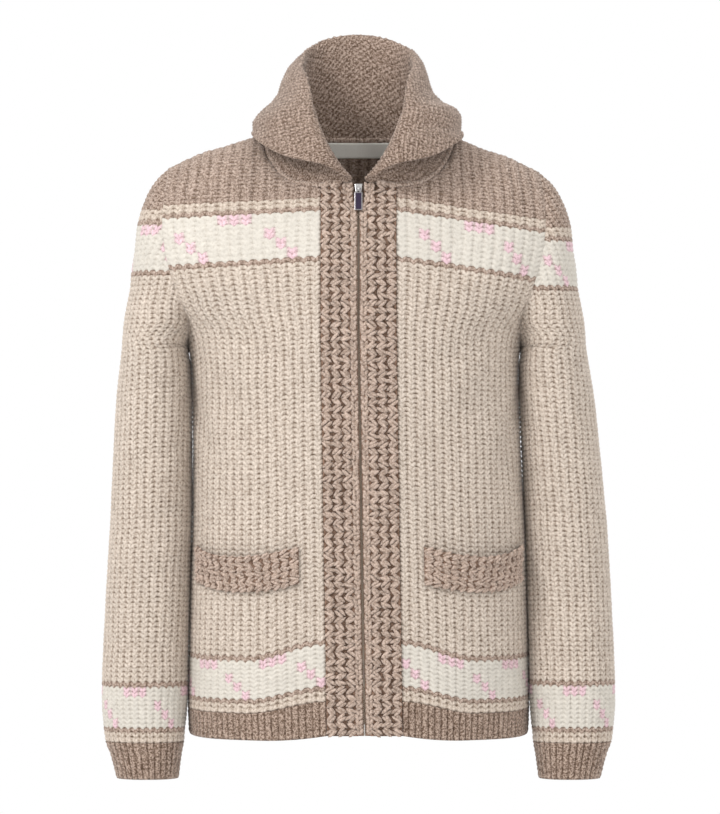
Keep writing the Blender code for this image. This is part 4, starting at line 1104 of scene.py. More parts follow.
def front_panel(side_sign):
    """One front in chunky rib."""
    ribs = FRONT_RIBS_UP + FRONT_RIBS_SIDE
    shares = column_shares(ribs, CHUNKY)
    seam = FRONT_RIBS_UP * len(CHUNKY["place"])
    levels = [front_levels(share, side_sign) for share in shares]
    lines = [panel_line(FRONT, share, side_sign, level[0]) for share, level in zip(shares, levels)]
    grid, last = row_grid(lines, lambda column: tuple(zip(FRONT_ROWS, levels[column])), ROW_PITCH, CHUNKY)
    normal = outward(grid, panel_normals(grid, last, seam), TRUNK_MIDDLE)
    grid = creased(grid, normal, side_sign)
    join = join_row(grid[:, seam, 2], FRONT, CHUNKY)
    normal[0] = [without(n, 2) for n in normal[0]]
    normal[:, 0] = [without(n, 0) for n in normal[:, 0]]
    normal[:, -1] = [without(n, 1) for n in normal[:, -1]]
    depth = stitch_depth(grid.shape[:2], CHUNKY, SEED["front"] + side_sign)
    moved = swayed(grid, last, CHUNKY, SWAY_SEED + SEED["front"] + side_sign)
    moved[:, seam - 1:seam + 2] = grid[:, seam - 1:seam + 2]
    drawn = inside_seams(moved, grid)
    top_edge(range(seam + 1), grid, last, normal, drawn, depth)
    cells = [(int(last[column]), column) for column in range(seam + 1, len(shares))]
    cells += [(row, seam) for row in range(join, int(last[seam]) + 1)]
    armhole_edge(cells, grid, normal, depth)
    side_tops = last[seam:].copy()
    side_tops[0] = join
    blocks = [(0, seam, last[:seam + 1], 0, join), (seam, len(shares) - 1, side_tops, None, 0)]
    name = "front_" + SIDE_NAMES[side_sign]
    chart = stripe_chart(ribs, BODY_TOP_DARK, *REPEAT_RUN[name], bare=(0,))
    drawn = as_worn(mirror_x(drawn, side_sign))
    return knitted(name + "_knit", drawn, mirror_x(normal, side_sign), depth, blocks, CHUNKY, chart, WALL)


def back_panel():
    """The back in chunky rib, both halves in one piece."""
    ribs = BACK_RIBS_UP + BACK_RIBS_SIDE
    shares = column_shares(ribs, BACK_CHUNKY)
    seam = BACK_RIBS_UP * len(BACK_CHUNKY["place"])
    knots = tuple(zip(FRONT_ROWS, FRONT_LEVELS["side"]))
    lines = [panel_line(BACK, share, 1, HEM_SEAM) for share in shares]
    half, half_last = row_grid(lines, lambda column: knots, ROW_PITCH, BACK_CHUNKY)
    half[..., 1] *= -1
    normal = panel_normals(half, half_last, seam)
    normal[:, 0, 0] = 0
    normal = outward(half, normal, TRUNK_MIDDLE)
    join = join_row(half[:, seam, 2], BACK, BACK_CHUNKY)
    grid = np.concatenate([mirror_x(half[:, :0:-1], -1), half], axis=1)
    normal = np.concatenate([mirror_x(normal[:, :0:-1], -1), normal], axis=1)
    last = np.concatenate([half_last[:0:-1], half_last])
    grid = creased(grid, normal)
    middle = len(shares) - 1
    first_up = middle - seam
    last_up = middle + seam
    end_column = grid.shape[1] - 1
    normal[0] = [without(n, 2) for n in normal[0]]
    for column in (0, end_column):
        normal[:, column] = [without(n, 1) for n in normal[:, column]]
    depth = stitch_depth(grid.shape[:2], BACK_CHUNKY, SEED["back"])
    moved = swayed(grid, last, BACK_CHUNKY, SWAY_SEED + SEED["back"])
    for column in (first_up, last_up):
        moved[:, column - 1:column + 2] = grid[:, column - 1:column + 2]
    drawn = inside_seams(moved, grid)
    top_edge(range(first_up, last_up + 1), grid, last, normal, drawn, depth)
    for columns, seam_column in ((range(last_up + 1, end_column + 1), last_up), (range(first_up), first_up)):
        cells = [(int(last[column]), column) for column in columns]
        cells += [(row, seam_column) for row in range(join, int(last[seam_column]) + 1)]
        armhole_edge(cells, grid, normal, depth)
    right_tops = last[:first_up + 1].copy()
    right_tops[-1] = join
    left_tops = last[last_up:].copy()
    left_tops[0] = join
    blocks = [
        (0, first_up, right_tops, 0, None),
        (first_up, last_up, last[first_up:last_up + 1], join, join),
        (last_up, end_column, left_tops, None, 0),
    ]
    chart = stripe_chart(2 * ribs, BODY_TOP_DARK, *REPEAT_RUN["back"])
    return knitted("back_knit", as_worn(drawn), normal, depth, blocks, BACK_CHUNKY, chart, WALL)


def ring_shares(ribs, style):
    """Column places round a ring, without the closing one."""
    return column_shares(ribs, style)[:-1]


# How far the sleeve's inner side leans on the body, by level
SLEEVE_TOUCH = ((-0.690, -0.672, -0.640, -0.480, -0.400, -0.330, -0.300, -0.272, -0.254),
                (0.0, 0.0012, 0.0026, 0.0024, 0.0018, 0.0010, 0.0016, 0.0020, 0.0))
# The upright middle lines of a sleeve and of a wrist
SLEEVE_AXIS = (0.225, 0)
WRIST_AXIS = (0.243, -0.019)


def sleeve(side_sign):
    """One sleeve in chunky rib."""
    shares = ring_shares(SLEEVE_RIBS, CHUNKY)
    lines = []
    for column in shares:
        arm = np.linspace(CUFF_SEAM, CAP_START, 20)[:-1]
        cap = CAP_START + np.linspace(0, 1, 18) * (sleeve_top(column) - CAP_START)
        lines.append(np.array([sleeve_point(column, z) for z in (*arm, *cap)]))
    grid, last = row_grid(lines, lambda column: SLEEVE_LEVELS[side_sign], ROW_PITCH, CHUNKY)
    normal = away_from_axis(grid, grid_normals(grid, last, ring=True), SLEEVE_AXIS)
    grid = mirror_x(grid, side_sign)
    normal = mirror_x(normal, side_sign)
    grid = creased(grid, normal)
    inward = np.maximum(0, -side_sign * normal[..., 0])
    grid[..., 0] -= side_sign * np.interp(grid[..., 2], *SLEEVE_TOUCH) * inward
    normal[0] = [without(n, 2) for n in normal[0]]
    depth = stitch_depth(grid.shape[:2], CHUNKY, SEED["sleeve"] + side_sign)
    drawn = swayed(grid, last, CHUNKY, SWAY_SEED + SEED["sleeve"] + side_sign, ring=True)
    drawn[0] = step_back(grid[0], grid[1])
    armhole_edge([(end, column) for column, end in enumerate(last)], grid, normal, depth)
    blocks = [(0, len(shares), np.append(last, last[0]), None, None)]
    name = "sleeve_" + SIDE_NAMES[side_sign]
    chart = stripe_chart(SLEEVE_RIBS, SLEEVE_TOP_DARK[side_sign], *REPEAT_RUN[name])
    return knitted(name + "_knit", as_worn(drawn), normal, depth, blocks, CHUNKY, chart, WALL)


def cuff(side_sign):
    """One cuff in fine rib, eight rows high."""
    shares = ring_shares(CUFF_RIBS, FINE)
    levels = np.linspace(CUFF_BOTTOM, CUFF_SEAM, 8)
    lines = [np.array([sleeve_point(column, z) for z in levels]) for column in shares]
    grid, last = row_grid(lines, lambda column: ((0, CUFF_BOTTOM), (8, CUFF_SEAM)), FINE_PITCH, FINE)
    normal = away_from_axis(grid, grid_normals(grid, last, ring=True), WRIST_AXIS)
    normal[0] = [without(n, 2) for n in normal[0]]
    drawn = grid.copy()
    level_top(grid, drawn, normal, last)
    depth = stitch_depth(grid.shape[:2], FINE, SEED["cuff"] + side_sign)
    blocks = [(0, len(shares), np.append(last, last[0]), None, None)]
    name = "cuff_" + SIDE_NAMES[side_sign] + "_knit"
    return knitted(name, mirror_x(drawn, side_sign), mirror_x(normal, side_sign), depth, blocks, FINE,
                   plain_chart("fine"), WALL)


def hem_piece(name, side, ribs, side_sign):
    """A strip of fine rib, six rows high, under a front, or under the whole back when side_sign is 0."""
    lines = []
    for share in column_shares(ribs, FINE):
        bottom = hem_bottom(share if side_sign else 1.0)
        top = front_levels(share, side_sign)[0] if side_sign else HEM_SEAM
        levels = np.linspace(bottom, top, 6)
        lines.append(np.array([lower_points(side, [share], z, side_sign)[0] for z in levels]))
    grid, last = row_grid(lines, lambda column: ((0, lines[column][0, 2]), (6, lines[column][-1, 2])),
                          FINE_PITCH, FINE)
    if side_sign == 0:
        grid[..., 1] *= -1
        grid = np.concatenate([mirror_x(grid[:, :0:-1], -1), grid], axis=1)
        last = np.concatenate([last[:0:-1], last])
    else:
        grid = mirror_x(grid, side_sign)
    normal = outward(grid, grid_normals(grid, last), np.array([0, 0, HEM_BOTTOM]))
    normal[0] = [without(n, 2) for n in normal[0]]
    drawn = grid.copy()
    level_top(grid, drawn, normal, last)
    for column, beside in ((0, 1), (-1, -2)):
        is_side_seam = column == -1 or side_sign == 0
        normal[:, column] = [without(n, 1 if is_side_seam else 0) for n in normal[:, column]]
        drawn[:, column] = step_back(drawn[:, column], drawn[:, beside])
    depth = stitch_depth(grid.shape[:2], FINE, SEED["hem"] + side_sign)
    blocks = [(0, grid.shape[1] - 1, last, 0, 0)]
    return knitted(name, drawn, normal, depth, blocks, FINE, plain_chart("fine"), WALL)


# How the collar's form departs from its solid: its middle, the drop of the top by distance from
# there, above a level, and the widening of the right and left lobes by level
COLLAR_ASIDE = 0.0023
COLLAR_DROP = ((0, 0.021, 0.039, 0.048, 0.055, 0.0615, 0.068, 0.075),
               (0, 0.001, 0.004, 0.0069, 0.008, 0.0086, 0.0046, 0))
COLLAR_DROP_FROM = 0.055
COLLAR_DROP_BLEND = 0.030
COLLAR_WIDER = {
    "level": (-0.012, -0.002, 0.008, 0.016, 0.023, 0.030, 0.042, 0.055, 0.068, 0.078, 0.090, 0.104),
    "right": (0.0, 0.001, 0.0075, 0.0070, 0.0045, 0.0, -0.002, 0.002, 0.005, 0.007, 0.006, 0.0),
    "left": (0.0, -0.003, 0.004, 0.0085, 0.0080, -0.003, -0.008, -0.006, -0.003, -0.001, -0.001, 0.0),
}
LOBE_FROM = 0.045
LOBE_POWER = 1.5
COLLAR_COLUMNS = 352


def collar_form(grid):
    """The collar's grid with a rounder top and fuller lobes than the solid's."""
    x = grid[..., 0] + COLLAR_ASIDE
    z = grid[..., 2]
    formed = grid.copy()
    high = smooth(np.clip((z - COLLAR_DROP_FROM) / COLLAR_DROP_BLEND, 0, 1))
    formed[..., 2] -= np.interp(np.abs(x), *COLLAR_DROP) * high
    outer = np.clip((np.abs(x) - LOBE_FROM) / LOBE_FROM, 0, 1) ** LOBE_POWER
    left = np.interp(z, COLLAR_WIDER["level"], COLLAR_WIDER["left"])
    right = np.interp(z, COLLAR_WIDER["level"], COLLAR_WIDER["right"])
    formed[..., 0] += np.where(x > 0, left, -right) * outer
    return formed


def collar_piece():
    """The shawl collar in moss stitch: rows run along its loose edge."""
    middle = collar_middle()
    stations = np.linspace(0, 1, len(middle))
    parts = np.linspace(0, 1, COLLAR_COLUMNS + 1)
    fine = np.array([curve_at(middle[:, point], stations, parts) for point in range(middle.shape[1])])
    lines = [fine[::-1, column] for column in range(COLLAR_COLUMNS + 1)]
    grid, last = row_grid(lines, lambda column: ((0, -1.0),), MOSS_PITCH, MOSS)
    grid = collar_form(grid)
    normal = grid_normals(grid, last)
    top = int(last[COLLAR_COLUMNS // 2] // 2)
    if normal[top, COLLAR_COLUMNS // 2, 2] < 0:
        normal = -normal
    grid = grid + normal * COLLAR_WALL / 2
    depth = moss_depth(grid.shape[:2], SEED["collar"])
    blocks = [(0, COLLAR_COLUMNS, last, 0, 0)]
    return knitted("collar_knit", grid, normal, depth, blocks, MOSS, plain_chart("taupe"), COLLAR_WALL)


# A yarn stroke's rings, by place along it and size, and its unevenness in direction, place,
# length and shade
LEAF_RINGS = ((-0.30, 0.78), (0.0, 1.0), (0.30, 0.78))
LEAF_SIDES = 6
LEAF_TURN = 0.13
LEAF_SHIFT = 0.0004
LEAF_LENGTHS = (0.92, 1.08)
LEAF_SHADES = (0.86, 1.08)


def leaves(name, places, seed):
    """Fat yarn strokes as one mesh: each is (middle, along, outward, length, width, height, colour)."""
    rng = np.random.default_rng(seed)
    points = []
    faces = []
    colours = []
    for middle, way, out, length, width, height, colour in places:
        way = unit(unit(way) + LEAF_TURN * rng.normal(0, 1, 3))
        middle = middle + LEAF_SHIFT * rng.normal(0, 1, 3)
        wide = unit(np.cross(out, way))
        up = np.cross(way, wide)
        length = length * rng.uniform(*LEAF_LENGTHS)
        start = len(points)
        points.append(middle - way * length / 2)
        for place, size in LEAF_RINGS:
            for side in range(LEAF_SIDES):
                turn = 2 * math.pi * side / LEAF_SIDES
                points.append(middle + way * place * length + wide * math.cos(turn) * size * width / 2
                              + up * math.sin(turn) * size * height / 2)
        points.append(middle + way * length / 2)
        end = len(points) - 1
        shade = rng.uniform(*LEAF_SHADES)
        for side in range(LEAF_SIDES):
            beside = (side + 1) % LEAF_SIDES
            faces.append((start, start + 1 + beside, start + 1 + side))
            for ring in range(len(LEAF_RINGS) - 1):
                low = start + 1 + ring * LEAF_SIDES
                high = low + LEAF_SIDES
                faces.append((low + side, low + beside, high + beside, high + side))
            last = start + 1 + (len(LEAF_RINGS) - 1) * LEAF_SIDES
            faces.append((last + side, last + beside, end))
        colours.extend([colour * shade] * (LEAF_SIDES * (len(LEAF_RINGS) + 1)))
    counts = np.array([len(face) for face in faces])
    shown = np.repeat(np.array(colours), counts, axis=0)
    first, second, third = (np.array(points[v]) for v in faces[1][:3])
    turned = faces_away(first, second, third, (first + second + third) / 3 - np.array(places[0][0]))
    return cloth_object(name, [tuple(point) for point in points], faces, shown, turned=turned)


def two_faced_wall(name, outer, inner, colour, shade=None):
    """A closed wall between two grids of the same size, with its yarn colour and a Stitch map in metres."""
    rows, columns = outer.shape[:2]
    points = np.concatenate([outer.reshape(-1, 3), inner.reshape(-1, 3)])
    behind = rows * columns
    faces = []
    for row in range(rows - 1):
        for column in range(columns - 1):
            a = row * columns + column
            b, c, d = a + 1, a + columns + 1, a + columns
            faces.append((a, b, c, d))
            faces.append((behind + a, behind + d, behind + c, behind + b))
    for row in range(rows - 1):
        for column, turned in ((0, False), (columns - 1, True)):
            a = row * columns + column
            d = a + columns
            face = (a, d, behind + d, behind + a)
            faces.append(face[::-1] if turned else face)
    for column in range(columns - 1):
        for row, turned in ((0, True), (rows - 1, False)):
            a = row * columns + column
            b = a + 1
            face = (a, b, behind + b, behind + a)
            faces.append(face[::-1] if turned else face)
    index = np.array([v for face in faces for v in face]) % behind
    shown = np.tile(colour, (len(index), 1))
    if shade is not None:
        shown = shown * shade.ravel()[index][:, None]
    across = np.stack([run_of(line) for line in outer])
    up = np.stack([run_of(outer[:, column]) for column in range(columns)], axis=1)
    stitch = np.stack([across.ravel()[index], up.ravel()[index]], axis=1)
    row = rows // 2
    column = columns // 2
    turned = faces_away(outer[row, column], outer[row, column - 1], outer[row - 1, column],
                        outer[row, column] - inner[row, column])
    return cloth_object(name, points.tolist(), faces, shown, stitch, turned)


# The band's wall: its rows, its places across, the ground that lies lower under the herringbone
# and under the chain (from, to, by how much), where and how strongly painted shade darkens the
# ground between the strokes, the edges' lift towards the yarn's own tone, and the rounding of the
# edge's lower corner
BAND_ROWS = 170
BAND_COLUMNS = (0.0, 0.02, 0.06, 0.10, 0.14, 0.18, 0.21, 0.235, 0.26,
                0.32, 0.45, 0.58, 0.71, 0.84, 0.94, 0.985, 1.0)
GROUND_LOWER = ((0.25, 0.99, 0.0011), (0.04, 0.2, 0.0006))
GROUND_FROM = 0.25
GROUND_TO = 0.95
GROUND_SHADE = 0.75
EDGE_SHADE = 1.3
CORNER_RISE = 0.0016
CORNER_WIDTH = 0.18

# Strokes: length, width and height, and how far the two strands of a herringbone stroke lie apart
BAND_STROKE = (0.0138, 0.0044, 0.0042)
BAND_STRANDS = 0.0016
WELT_STROKE = (0.0128, 0.0042, 0.0040)
WELT_STRANDS = 0.0014
CHAIN_STROKE = (0.0086, 0.0044, 0.0034)
NECK_STROKE = (0.0078, 0.0062, 0.0074)
LABEL_STROKE = (0.0018, 0.0005, 0.0005)

# The herringbone's first column from the zip, its columns, its pitches and its first row's place in
# rows, and the chain's two lines from the rolled edge
BAND_STROKE_START = 0.0146
BAND_STROKE_COLUMNS = 3
BAND_STROKE_ACROSS = 0.80
BAND_STROKE_UP = 0.60
BAND_STROKE_PITCH = 0.0112
BAND_ROW_PITCH = 0.0079
BAND_FIRST_ROW = 0.55
CHAIN_PITCH = 0.0056
CHAIN_LINES = ((0.0028, -1), (0.0061, 1))
CHAIN_START = 0.002
CHAIN_ROUND = 0.0035
CHAIN_TURN = 0.25
CHAIN_LEAN = 0.42
STROKE_SUNK = 0.0002
NUDGE = 0.001

BAND_LEVELS = np.linspace(BAND_BOTTOM - 0.004, BAND_TOP_INNER + 0.004, 60)
BAND_MIDDLE_Y = np.array([front_y(0.0, z) for z in BAND_LEVELS])
BAND_EDGE_Y = np.array([front_y(BAND_EDGE, z) for z in BAND_LEVELS])


def band_y(x, z):
    """The front's crest surface near the zip, read from its values at even levels."""
    middle = float(np.interp(z, BAND_LEVELS, BAND_MIDDLE_Y))
    edge = float(np.interp(z, BAND_LEVELS, BAND_EDGE_Y))
    return middle + (edge - middle) * (x / BAND_EDGE) ** 2


def band_point(side_sign, offset, z, proud=0.0):
    """A point of a band's outer side, at a distance from the zip's line."""
    sway = closing_x(z)
    gap = closing_half_gap(z)
    edge = BAND_EDGE - SEAM_GAP / 2
    across = min(1.0, max(0.0, (offset - gap) / (edge - gap)))
    x = side_sign * (gap + across * (edge - gap)) + sway
    out = float(np.interp(across, BAND["across"], BAND["proud"]))
    return np.array([x, band_y(x - sway, z) - out - proud, z])


def band_axes(side_sign, offset, z, proud):
    """A place on a band, with the directions across and up its surface."""
    middle = band_point(side_sign, offset, z, proud)
    across = unit(band_point(side_sign, offset + NUDGE, z, proud) - middle)
    up = unit(band_point(side_sign, offset, z + NUDGE, proud) - middle)
    return middle, across, up


def herringbone(middle, way, out, apart, stroke):
    """The two strands of one herringbone stroke, side by side."""
    beside = unit(np.cross(out, way))
    return [(middle + beside * strand * apart, way, out, *stroke, BAND_YARN) for strand in (-1, 1)]


def ground_lower(share):
    """How far the band's ground lies under its strokes, at a share of its width."""
    for start, end, lower in GROUND_LOWER:
        if start < share < end:
            return lower
    return 0.0


def band(side_sign):
    """One band: its wall, and the herringbone and chain strokes that lie on it."""
    outer = np.zeros((BAND_ROWS, len(BAND_COLUMNS), 3))
    inner = np.zeros_like(outer)
    shade = np.ones(outer.shape[:2])
    for row, rise in enumerate(np.linspace(0, 1, BAND_ROWS)):
        for column, share in enumerate(BAND_COLUMNS):
            top = BAND_TOP_INNER + share * (BAND_TOP_OUTER - BAND_TOP_INNER)
            corner = CORNER_RISE * max(0.0, 1 - share / CORNER_WIDTH) ** 2
            z = BAND_BOTTOM + corner + rise * (top - BAND_BOTTOM - corner)
            gap = closing_half_gap(z)
            offset = gap + share * (BAND_EDGE - SEAM_GAP / 2 - gap)
            outer[row, column] = band_point(side_sign, offset, z, -ground_lower(share))
            inner[row, column] = outer[row, column]
            inner[row, column, 1] = band_y(outer[row, column, 0] - closing_x(z), z) + WALL
            inner[row, column, 1] -= EDGE_THINNER if share < ROLLED_EDGE else 0
            # Painted shade on the ground between the strokes; the edges are lifted towards the yarn's own
            # tone
            shade[row, column] = GROUND_SHADE if GROUND_FROM < share < GROUND_TO else EDGE_SHADE
    name = "band_" + SIDE_NAMES[side_sign]
    wall = two_faced_wall(name + "_knit", outer, inner, SHADED_GROUND_YARN, shade)
    strokes = []
    for row in range(int((BAND_TOP_OUTER - BAND_BOTTOM) / BAND_ROW_PITCH) + 1):
        z = BAND_BOTTOM + (row + BAND_FIRST_ROW) * BAND_ROW_PITCH
        lean = 1 if row % 2 else -1
        for column in range(BAND_STROKE_COLUMNS):
            offset = BAND_STROKE_START + column * BAND_STROKE_PITCH
            middle, across, up = band_axes(side_sign, offset, z, -STROKE_SUNK)
            out = np.cross(across, up)
            out = out if out[1] < 0 else -out
            way = across * BAND_STROKE_ACROSS + up * BAND_STROKE_UP * lean
            strokes += herringbone(middle, way, out, BAND_STRANDS, BAND_STROKE)
    for row in range(int((BAND_TOP_INNER - BAND_BOTTOM) / CHAIN_PITCH)):
        z = BAND_BOTTOM + CHAIN_START + (row + 0.5) * CHAIN_PITCH
        gap = closing_half_gap(z)
        for offset, lean in CHAIN_LINES:
            middle, _, up = band_axes(side_sign, gap + offset, z, STROKE_SUNK)
            out = unit(np.array([CHAIN_TURN * side_sign * (offset - CHAIN_ROUND) / CHAIN_ROUND, -1, 0]))
            way = up + np.array([CHAIN_LEAN * lean * side_sign, 0, 0])
            strokes.append((middle, way, out, *CHAIN_STROKE, BAND_YARN))
    return wall, leaves(name + "_stitches", strokes, SEED["band"] + side_sign)


# The tape's places across, its step back from the middle, and the teeth's size, pitch and bevel,
# their distance from the zip's line and from the tape, and how far their row stays from each end
TAPE_COLUMNS = (0.0, TOOTH_LINE_WIDTH, 0.0025, 0.0045, TAPE_HIDDEN_WIDTH)
TAPE_ASIDE = 0.0004
TOOTH_SIZE = (0.0016, 0.0012, 0.0011)
TOOTH_PITCH = 0.0021
TOOTH_BEVEL = 0.00028
TOOTH_ASIDE = 0.0007
TOOTH_GAP = 0.0001
TEETH_BOTTOM = 0.003
TEETH_TOP = 0.0015


def tape_plane(z):
    """The depth of the tapes' front faces, just behind the bands' rolled edges."""
    return band_y(0, z) + WALL - EDGE_THINNER + 2 * SEAM_GAP


def tape(side_sign):
    """One zip tape behind its band."""
    levels = np.linspace(BAND_BOTTOM, SLIDER_TOP - SLIDER_LENGTH - SLIDER_CLEARANCE, 60)
    outer = np.zeros((len(levels), len(TAPE_COLUMNS), 3))
    for row, z in enumerate(levels):
        for column, offset in enumerate(TAPE_COLUMNS):
            x = side_sign * (ZIP_HALF_CLEARANCE + TAPE_ASIDE + offset) + closing_x(z)
            outer[row, column] = (x, tape_plane(z), z)
    inner = outer + np.array([0, TAPE_THICKNESS, 0])
    return two_faced_wall("tape_" + SIDE_NAMES[side_sign], outer, inner, TAPE_YARN)


def first_tooth():
    """One zip tooth: a small box with bevelled edges, made once and copied."""
    bpy.ops.object.select_all(action="DESELECT")
    bpy.ops.mesh.primitive_cube_add(size=1)
    tooth = bpy.context.object
    tooth.scale = TOOTH_SIZE
    bpy.ops.object.transform_apply(location=False, rotation=False, scale=True)
    bpy.ops.object.mode_set(mode="EDIT")
    bpy.ops.mesh.select_all(action="SELECT")
    bpy.ops.mesh.bevel(offset=TOOTH_BEVEL, segments=1, affect="EDGES")
    bpy.ops.object.mode_set(mode="OBJECT")
    return tooth


def tooth_place(side_sign, z):
    """Where a tooth sits: in front of its tape, beside the zip's line."""
    return closing_x(z) + side_sign * TOOTH_ASIDE, tape_plane(z) - TOOTH_SIZE[1] / 2 - TOOTH_GAP, z


def teeth(side_sign):
    """One side's row of teeth, from the hem to the slider; the left ones sit half a pitch higher."""
    tooth = first_tooth()
    start = BAND_BOTTOM + TEETH_BOTTOM + (0.5 if side_sign > 0 else 0.0) * TOOTH_PITCH
    levels = np.arange(start, SLIDER_TOP - SLIDER_LENGTH - TEETH_TOP, TOOTH_PITCH)
    for z in levels:
        copy = tooth.copy()
        bpy.context.scene.collection.objects.link(copy)
        copy.location = tooth_place(side_sign, z)
        copy.select_set(True)
    tooth.select_set(True)
    bpy.context.view_layer.objects.active = tooth
    tooth.location = tooth_place(side_sign, levels[0] - TOOTH_PITCH)
    bpy.ops.object.join()
    bpy.ops.object.transform_apply(location=True, rotation=True, scale=True)
    tooth.name = "teeth_" + SIDE_NAMES[side_sign]
    tooth.data.name = tooth.name
    return tooth


# The welt's wall and strokes: columns and rows, how thick its rims are at foot and mouth, and how
# roundly its foot sags and its mouth opens
WELT_COLUMNS = 48
WELT_ROWS = 15
WELT_STROKE_COLUMNS = 14
WELT_STROKE_ROWS = 7
WELT_GROUND_LOWER = 0.0013
WELT_FOOT = 0.0018
WELT_LIP = 0.0026
# The welt's ground a little darker still: more painted shade in the holes between its strokes
WELT_SHADE = 0.95
WELT_FOOT_SAG = 0.9
WELT_FOOT_ROUND = 0.8
WELT_MOUTH_RISE = 1.5
WELT_MOUTH_ROUND = 0.7
WELT_STROKE_ACROSS = 0.88
WELT_STROKE_UP = 0.46


def welt_piece(side_sign):
    """A pocket welt: its wall and the herringbone strokes on it."""
    crest = np.zeros((WELT_ROWS, WELT_COLUMNS + 1, 3))
    lift = np.zeros((WELT_ROWS, WELT_COLUMNS + 1))
    for column, share in enumerate(np.linspace(WELT_START, WELT_END, WELT_COLUMNS + 1)):
        middle = math.sin(math.pi * column / WELT_COLUMNS)
        top = WELT_TOP - WELT_SAG * middle
        bottom = WELT_BOTTOM - WELT_SAG * WELT_FOOT_SAG * middle ** WELT_FOOT_ROUND
        for row, rise in enumerate(np.linspace(0, 1, WELT_ROWS)):
            z = bottom + rise * (top - bottom)
            crest[row, column] = lower_points(FRONT, [share], z, side_sign)[0]
            lift[row, column] = WELT_MOUTH * rise ** WELT_MOUTH_RISE * middle ** WELT_MOUTH_ROUND
    normal = outward(crest, normals_of(crest), np.array([0, 0, WELT_TOP]))
    inner = crest + normal * (SEAM_GAP + lift)[..., None]
    outer = inner + normal * (WELT_WALL - WELT_GROUND_LOWER)
    outer[0] = inner[0] + normal[0] * WELT_FOOT
    outer[-1] = inner[-1] + normal[-1] * WELT_LIP
    outer = mirror_x(outer, side_sign)
    inner = mirror_x(inner, side_sign)
    normal = mirror_x(normal, side_sign)
    name = "welt_" + SIDE_NAMES[side_sign]
    # The welt's ground carries painted shade for the holes between its strokes
    wall = two_faced_wall(name + "_knit", outer, inner, SHADED_GROUND_YARN, np.full(outer.shape[:2], WELT_SHADE))
    strokes = []
    for row in range(WELT_STROKE_ROWS):
        lean = 1 if row % 2 == 0 else -1
        for column in range(WELT_STROKE_COLUMNS):
            u = (column + 0.5) / WELT_STROKE_COLUMNS * WELT_COLUMNS
            v = (row + 0.5) / WELT_STROKE_ROWS * (WELT_ROWS - 1)
            i, j = int(v), min(int(u), WELT_COLUMNS - 1)
            a, b = v - i, u - j
            middle = (outer[i, j] * (1 - a) * (1 - b) + outer[i + 1, j] * a * (1 - b)
                      + outer[i, j + 1] * (1 - a) * b + outer[i + 1, j + 1] * a * b)
            sideways = unit(outer[i, j + 1] - outer[i, j]) * side_sign
            upward = unit(outer[i + 1, j] - outer[i, j])
            way = sideways * WELT_STROKE_ACROSS + upward * WELT_STROKE_UP * lean
            strokes += herringbone(middle, way, normal[i, j], WELT_STRANDS, WELT_STROKE)
    return wall, leaves(name + "_stitches", strokes, SEED["welt"] + side_sign)


# The neck seam's strokes: the first one's place, their pitch, their tilt one way and the other, and
# how far above each the point lies that it faces away from
NECK_STROKE_START = 0.0015
NECK_STROKE_PITCH = 0.0040
NECK_STROKE_TILTS = (-0.1, 0.45)
NECK_STROKE_ABOVE = 0.05
# The label's end stitches: how many, and how far in from its ends and from its long edges
LABEL_STITCHES = 7
LABEL_STITCH_IN = 0.0025
LABEL_STITCH_EDGE = 0.0015


def neck_seam():
    """The strokes of the linking that joins the collar to the body, along the neck seam."""
    line = collar_form(collar_middle())[:, 0]
    length = run_of(line)
    middles = curve_at(line, length, np.arange(NECK_STROKE_START, length[-1], NECK_STROKE_PITCH))
    ways = np.gradient(middles, axis=0)
    strokes = []
    for index, (middle, way) in enumerate(zip(middles, ways)):
        out = unit(middle - np.array([0, 0, middle[2] + NECK_STROKE_ABOVE]))
        tilt = np.array([0, 0, NECK_STROKE_TILTS[index % 2]])
        strokes.append((middle, unit(way) + tilt, out, *NECK_STROKE, YARN["taupe"]))
    return leaves("neck_seam_stitches", strokes, SEED["neck_seam"])


def label_piece():
    """The bare woven label, with a line of stitches at each end."""
    bottom = LABEL_TOP - LABEL_HEIGHT
    columns = np.linspace(-LABEL_HALF_WIDTH, LABEL_HALF_WIDTH, 41)
    levels = np.linspace(bottom, LABEL_TOP, 9)
    knots = np.linspace(-LABEL_HALF_WIDTH, LABEL_HALF_WIDTH, 9)
    known = (levels[0], levels[4], levels[8])
    depth_at = np.array([[label_y(x, z) for x in knots] for z in known])
    face = np.zeros((len(levels), len(columns), 3))
    for row, z in enumerate(levels):
        at_level = [np.interp(z, known, depths) for depths in depth_at.T]
        for column, x in enumerate(columns):
            face[row, column] = (x, float(np.interp(x, knots, at_level)), z)
    rear = face + np.array([0, LABEL_THICKNESS, 0])
    wall = two_faced_wall("label_woven", face, rear, LABEL_YARN)
    strokes = []
    for x in (-LABEL_HALF_WIDTH + LABEL_STITCH_IN, LABEL_HALF_WIDTH - LABEL_STITCH_IN):
        y = float(np.interp(x, knots, depth_at[1]))
        for z in np.linspace(bottom + LABEL_STITCH_EDGE, LABEL_TOP - LABEL_STITCH_EDGE, LABEL_STITCHES):
            strokes.append((np.array([x, y, z]), np.array([0.1, 0, 1.0]), np.array([0, -1, 0]),
                            *LABEL_STROKE, LABEL_THREAD))
    return wall, leaves("label_stitches", strokes, SEED["label"])


def new_material(name):
    """A material with nodes of its own: returns it and its surface node."""
    material = bpy.data.materials.new(name)
    material.use_nodes = True
    nodes = material.node_tree.nodes
    nodes.clear()
    output = nodes.new("ShaderNodeOutputMaterial")
    surface = nodes.new("ShaderNodeBsdfPrincipled")
    material.node_tree.links.new(surface.outputs["BSDF"], output.inputs["Surface"])
    return material, surface


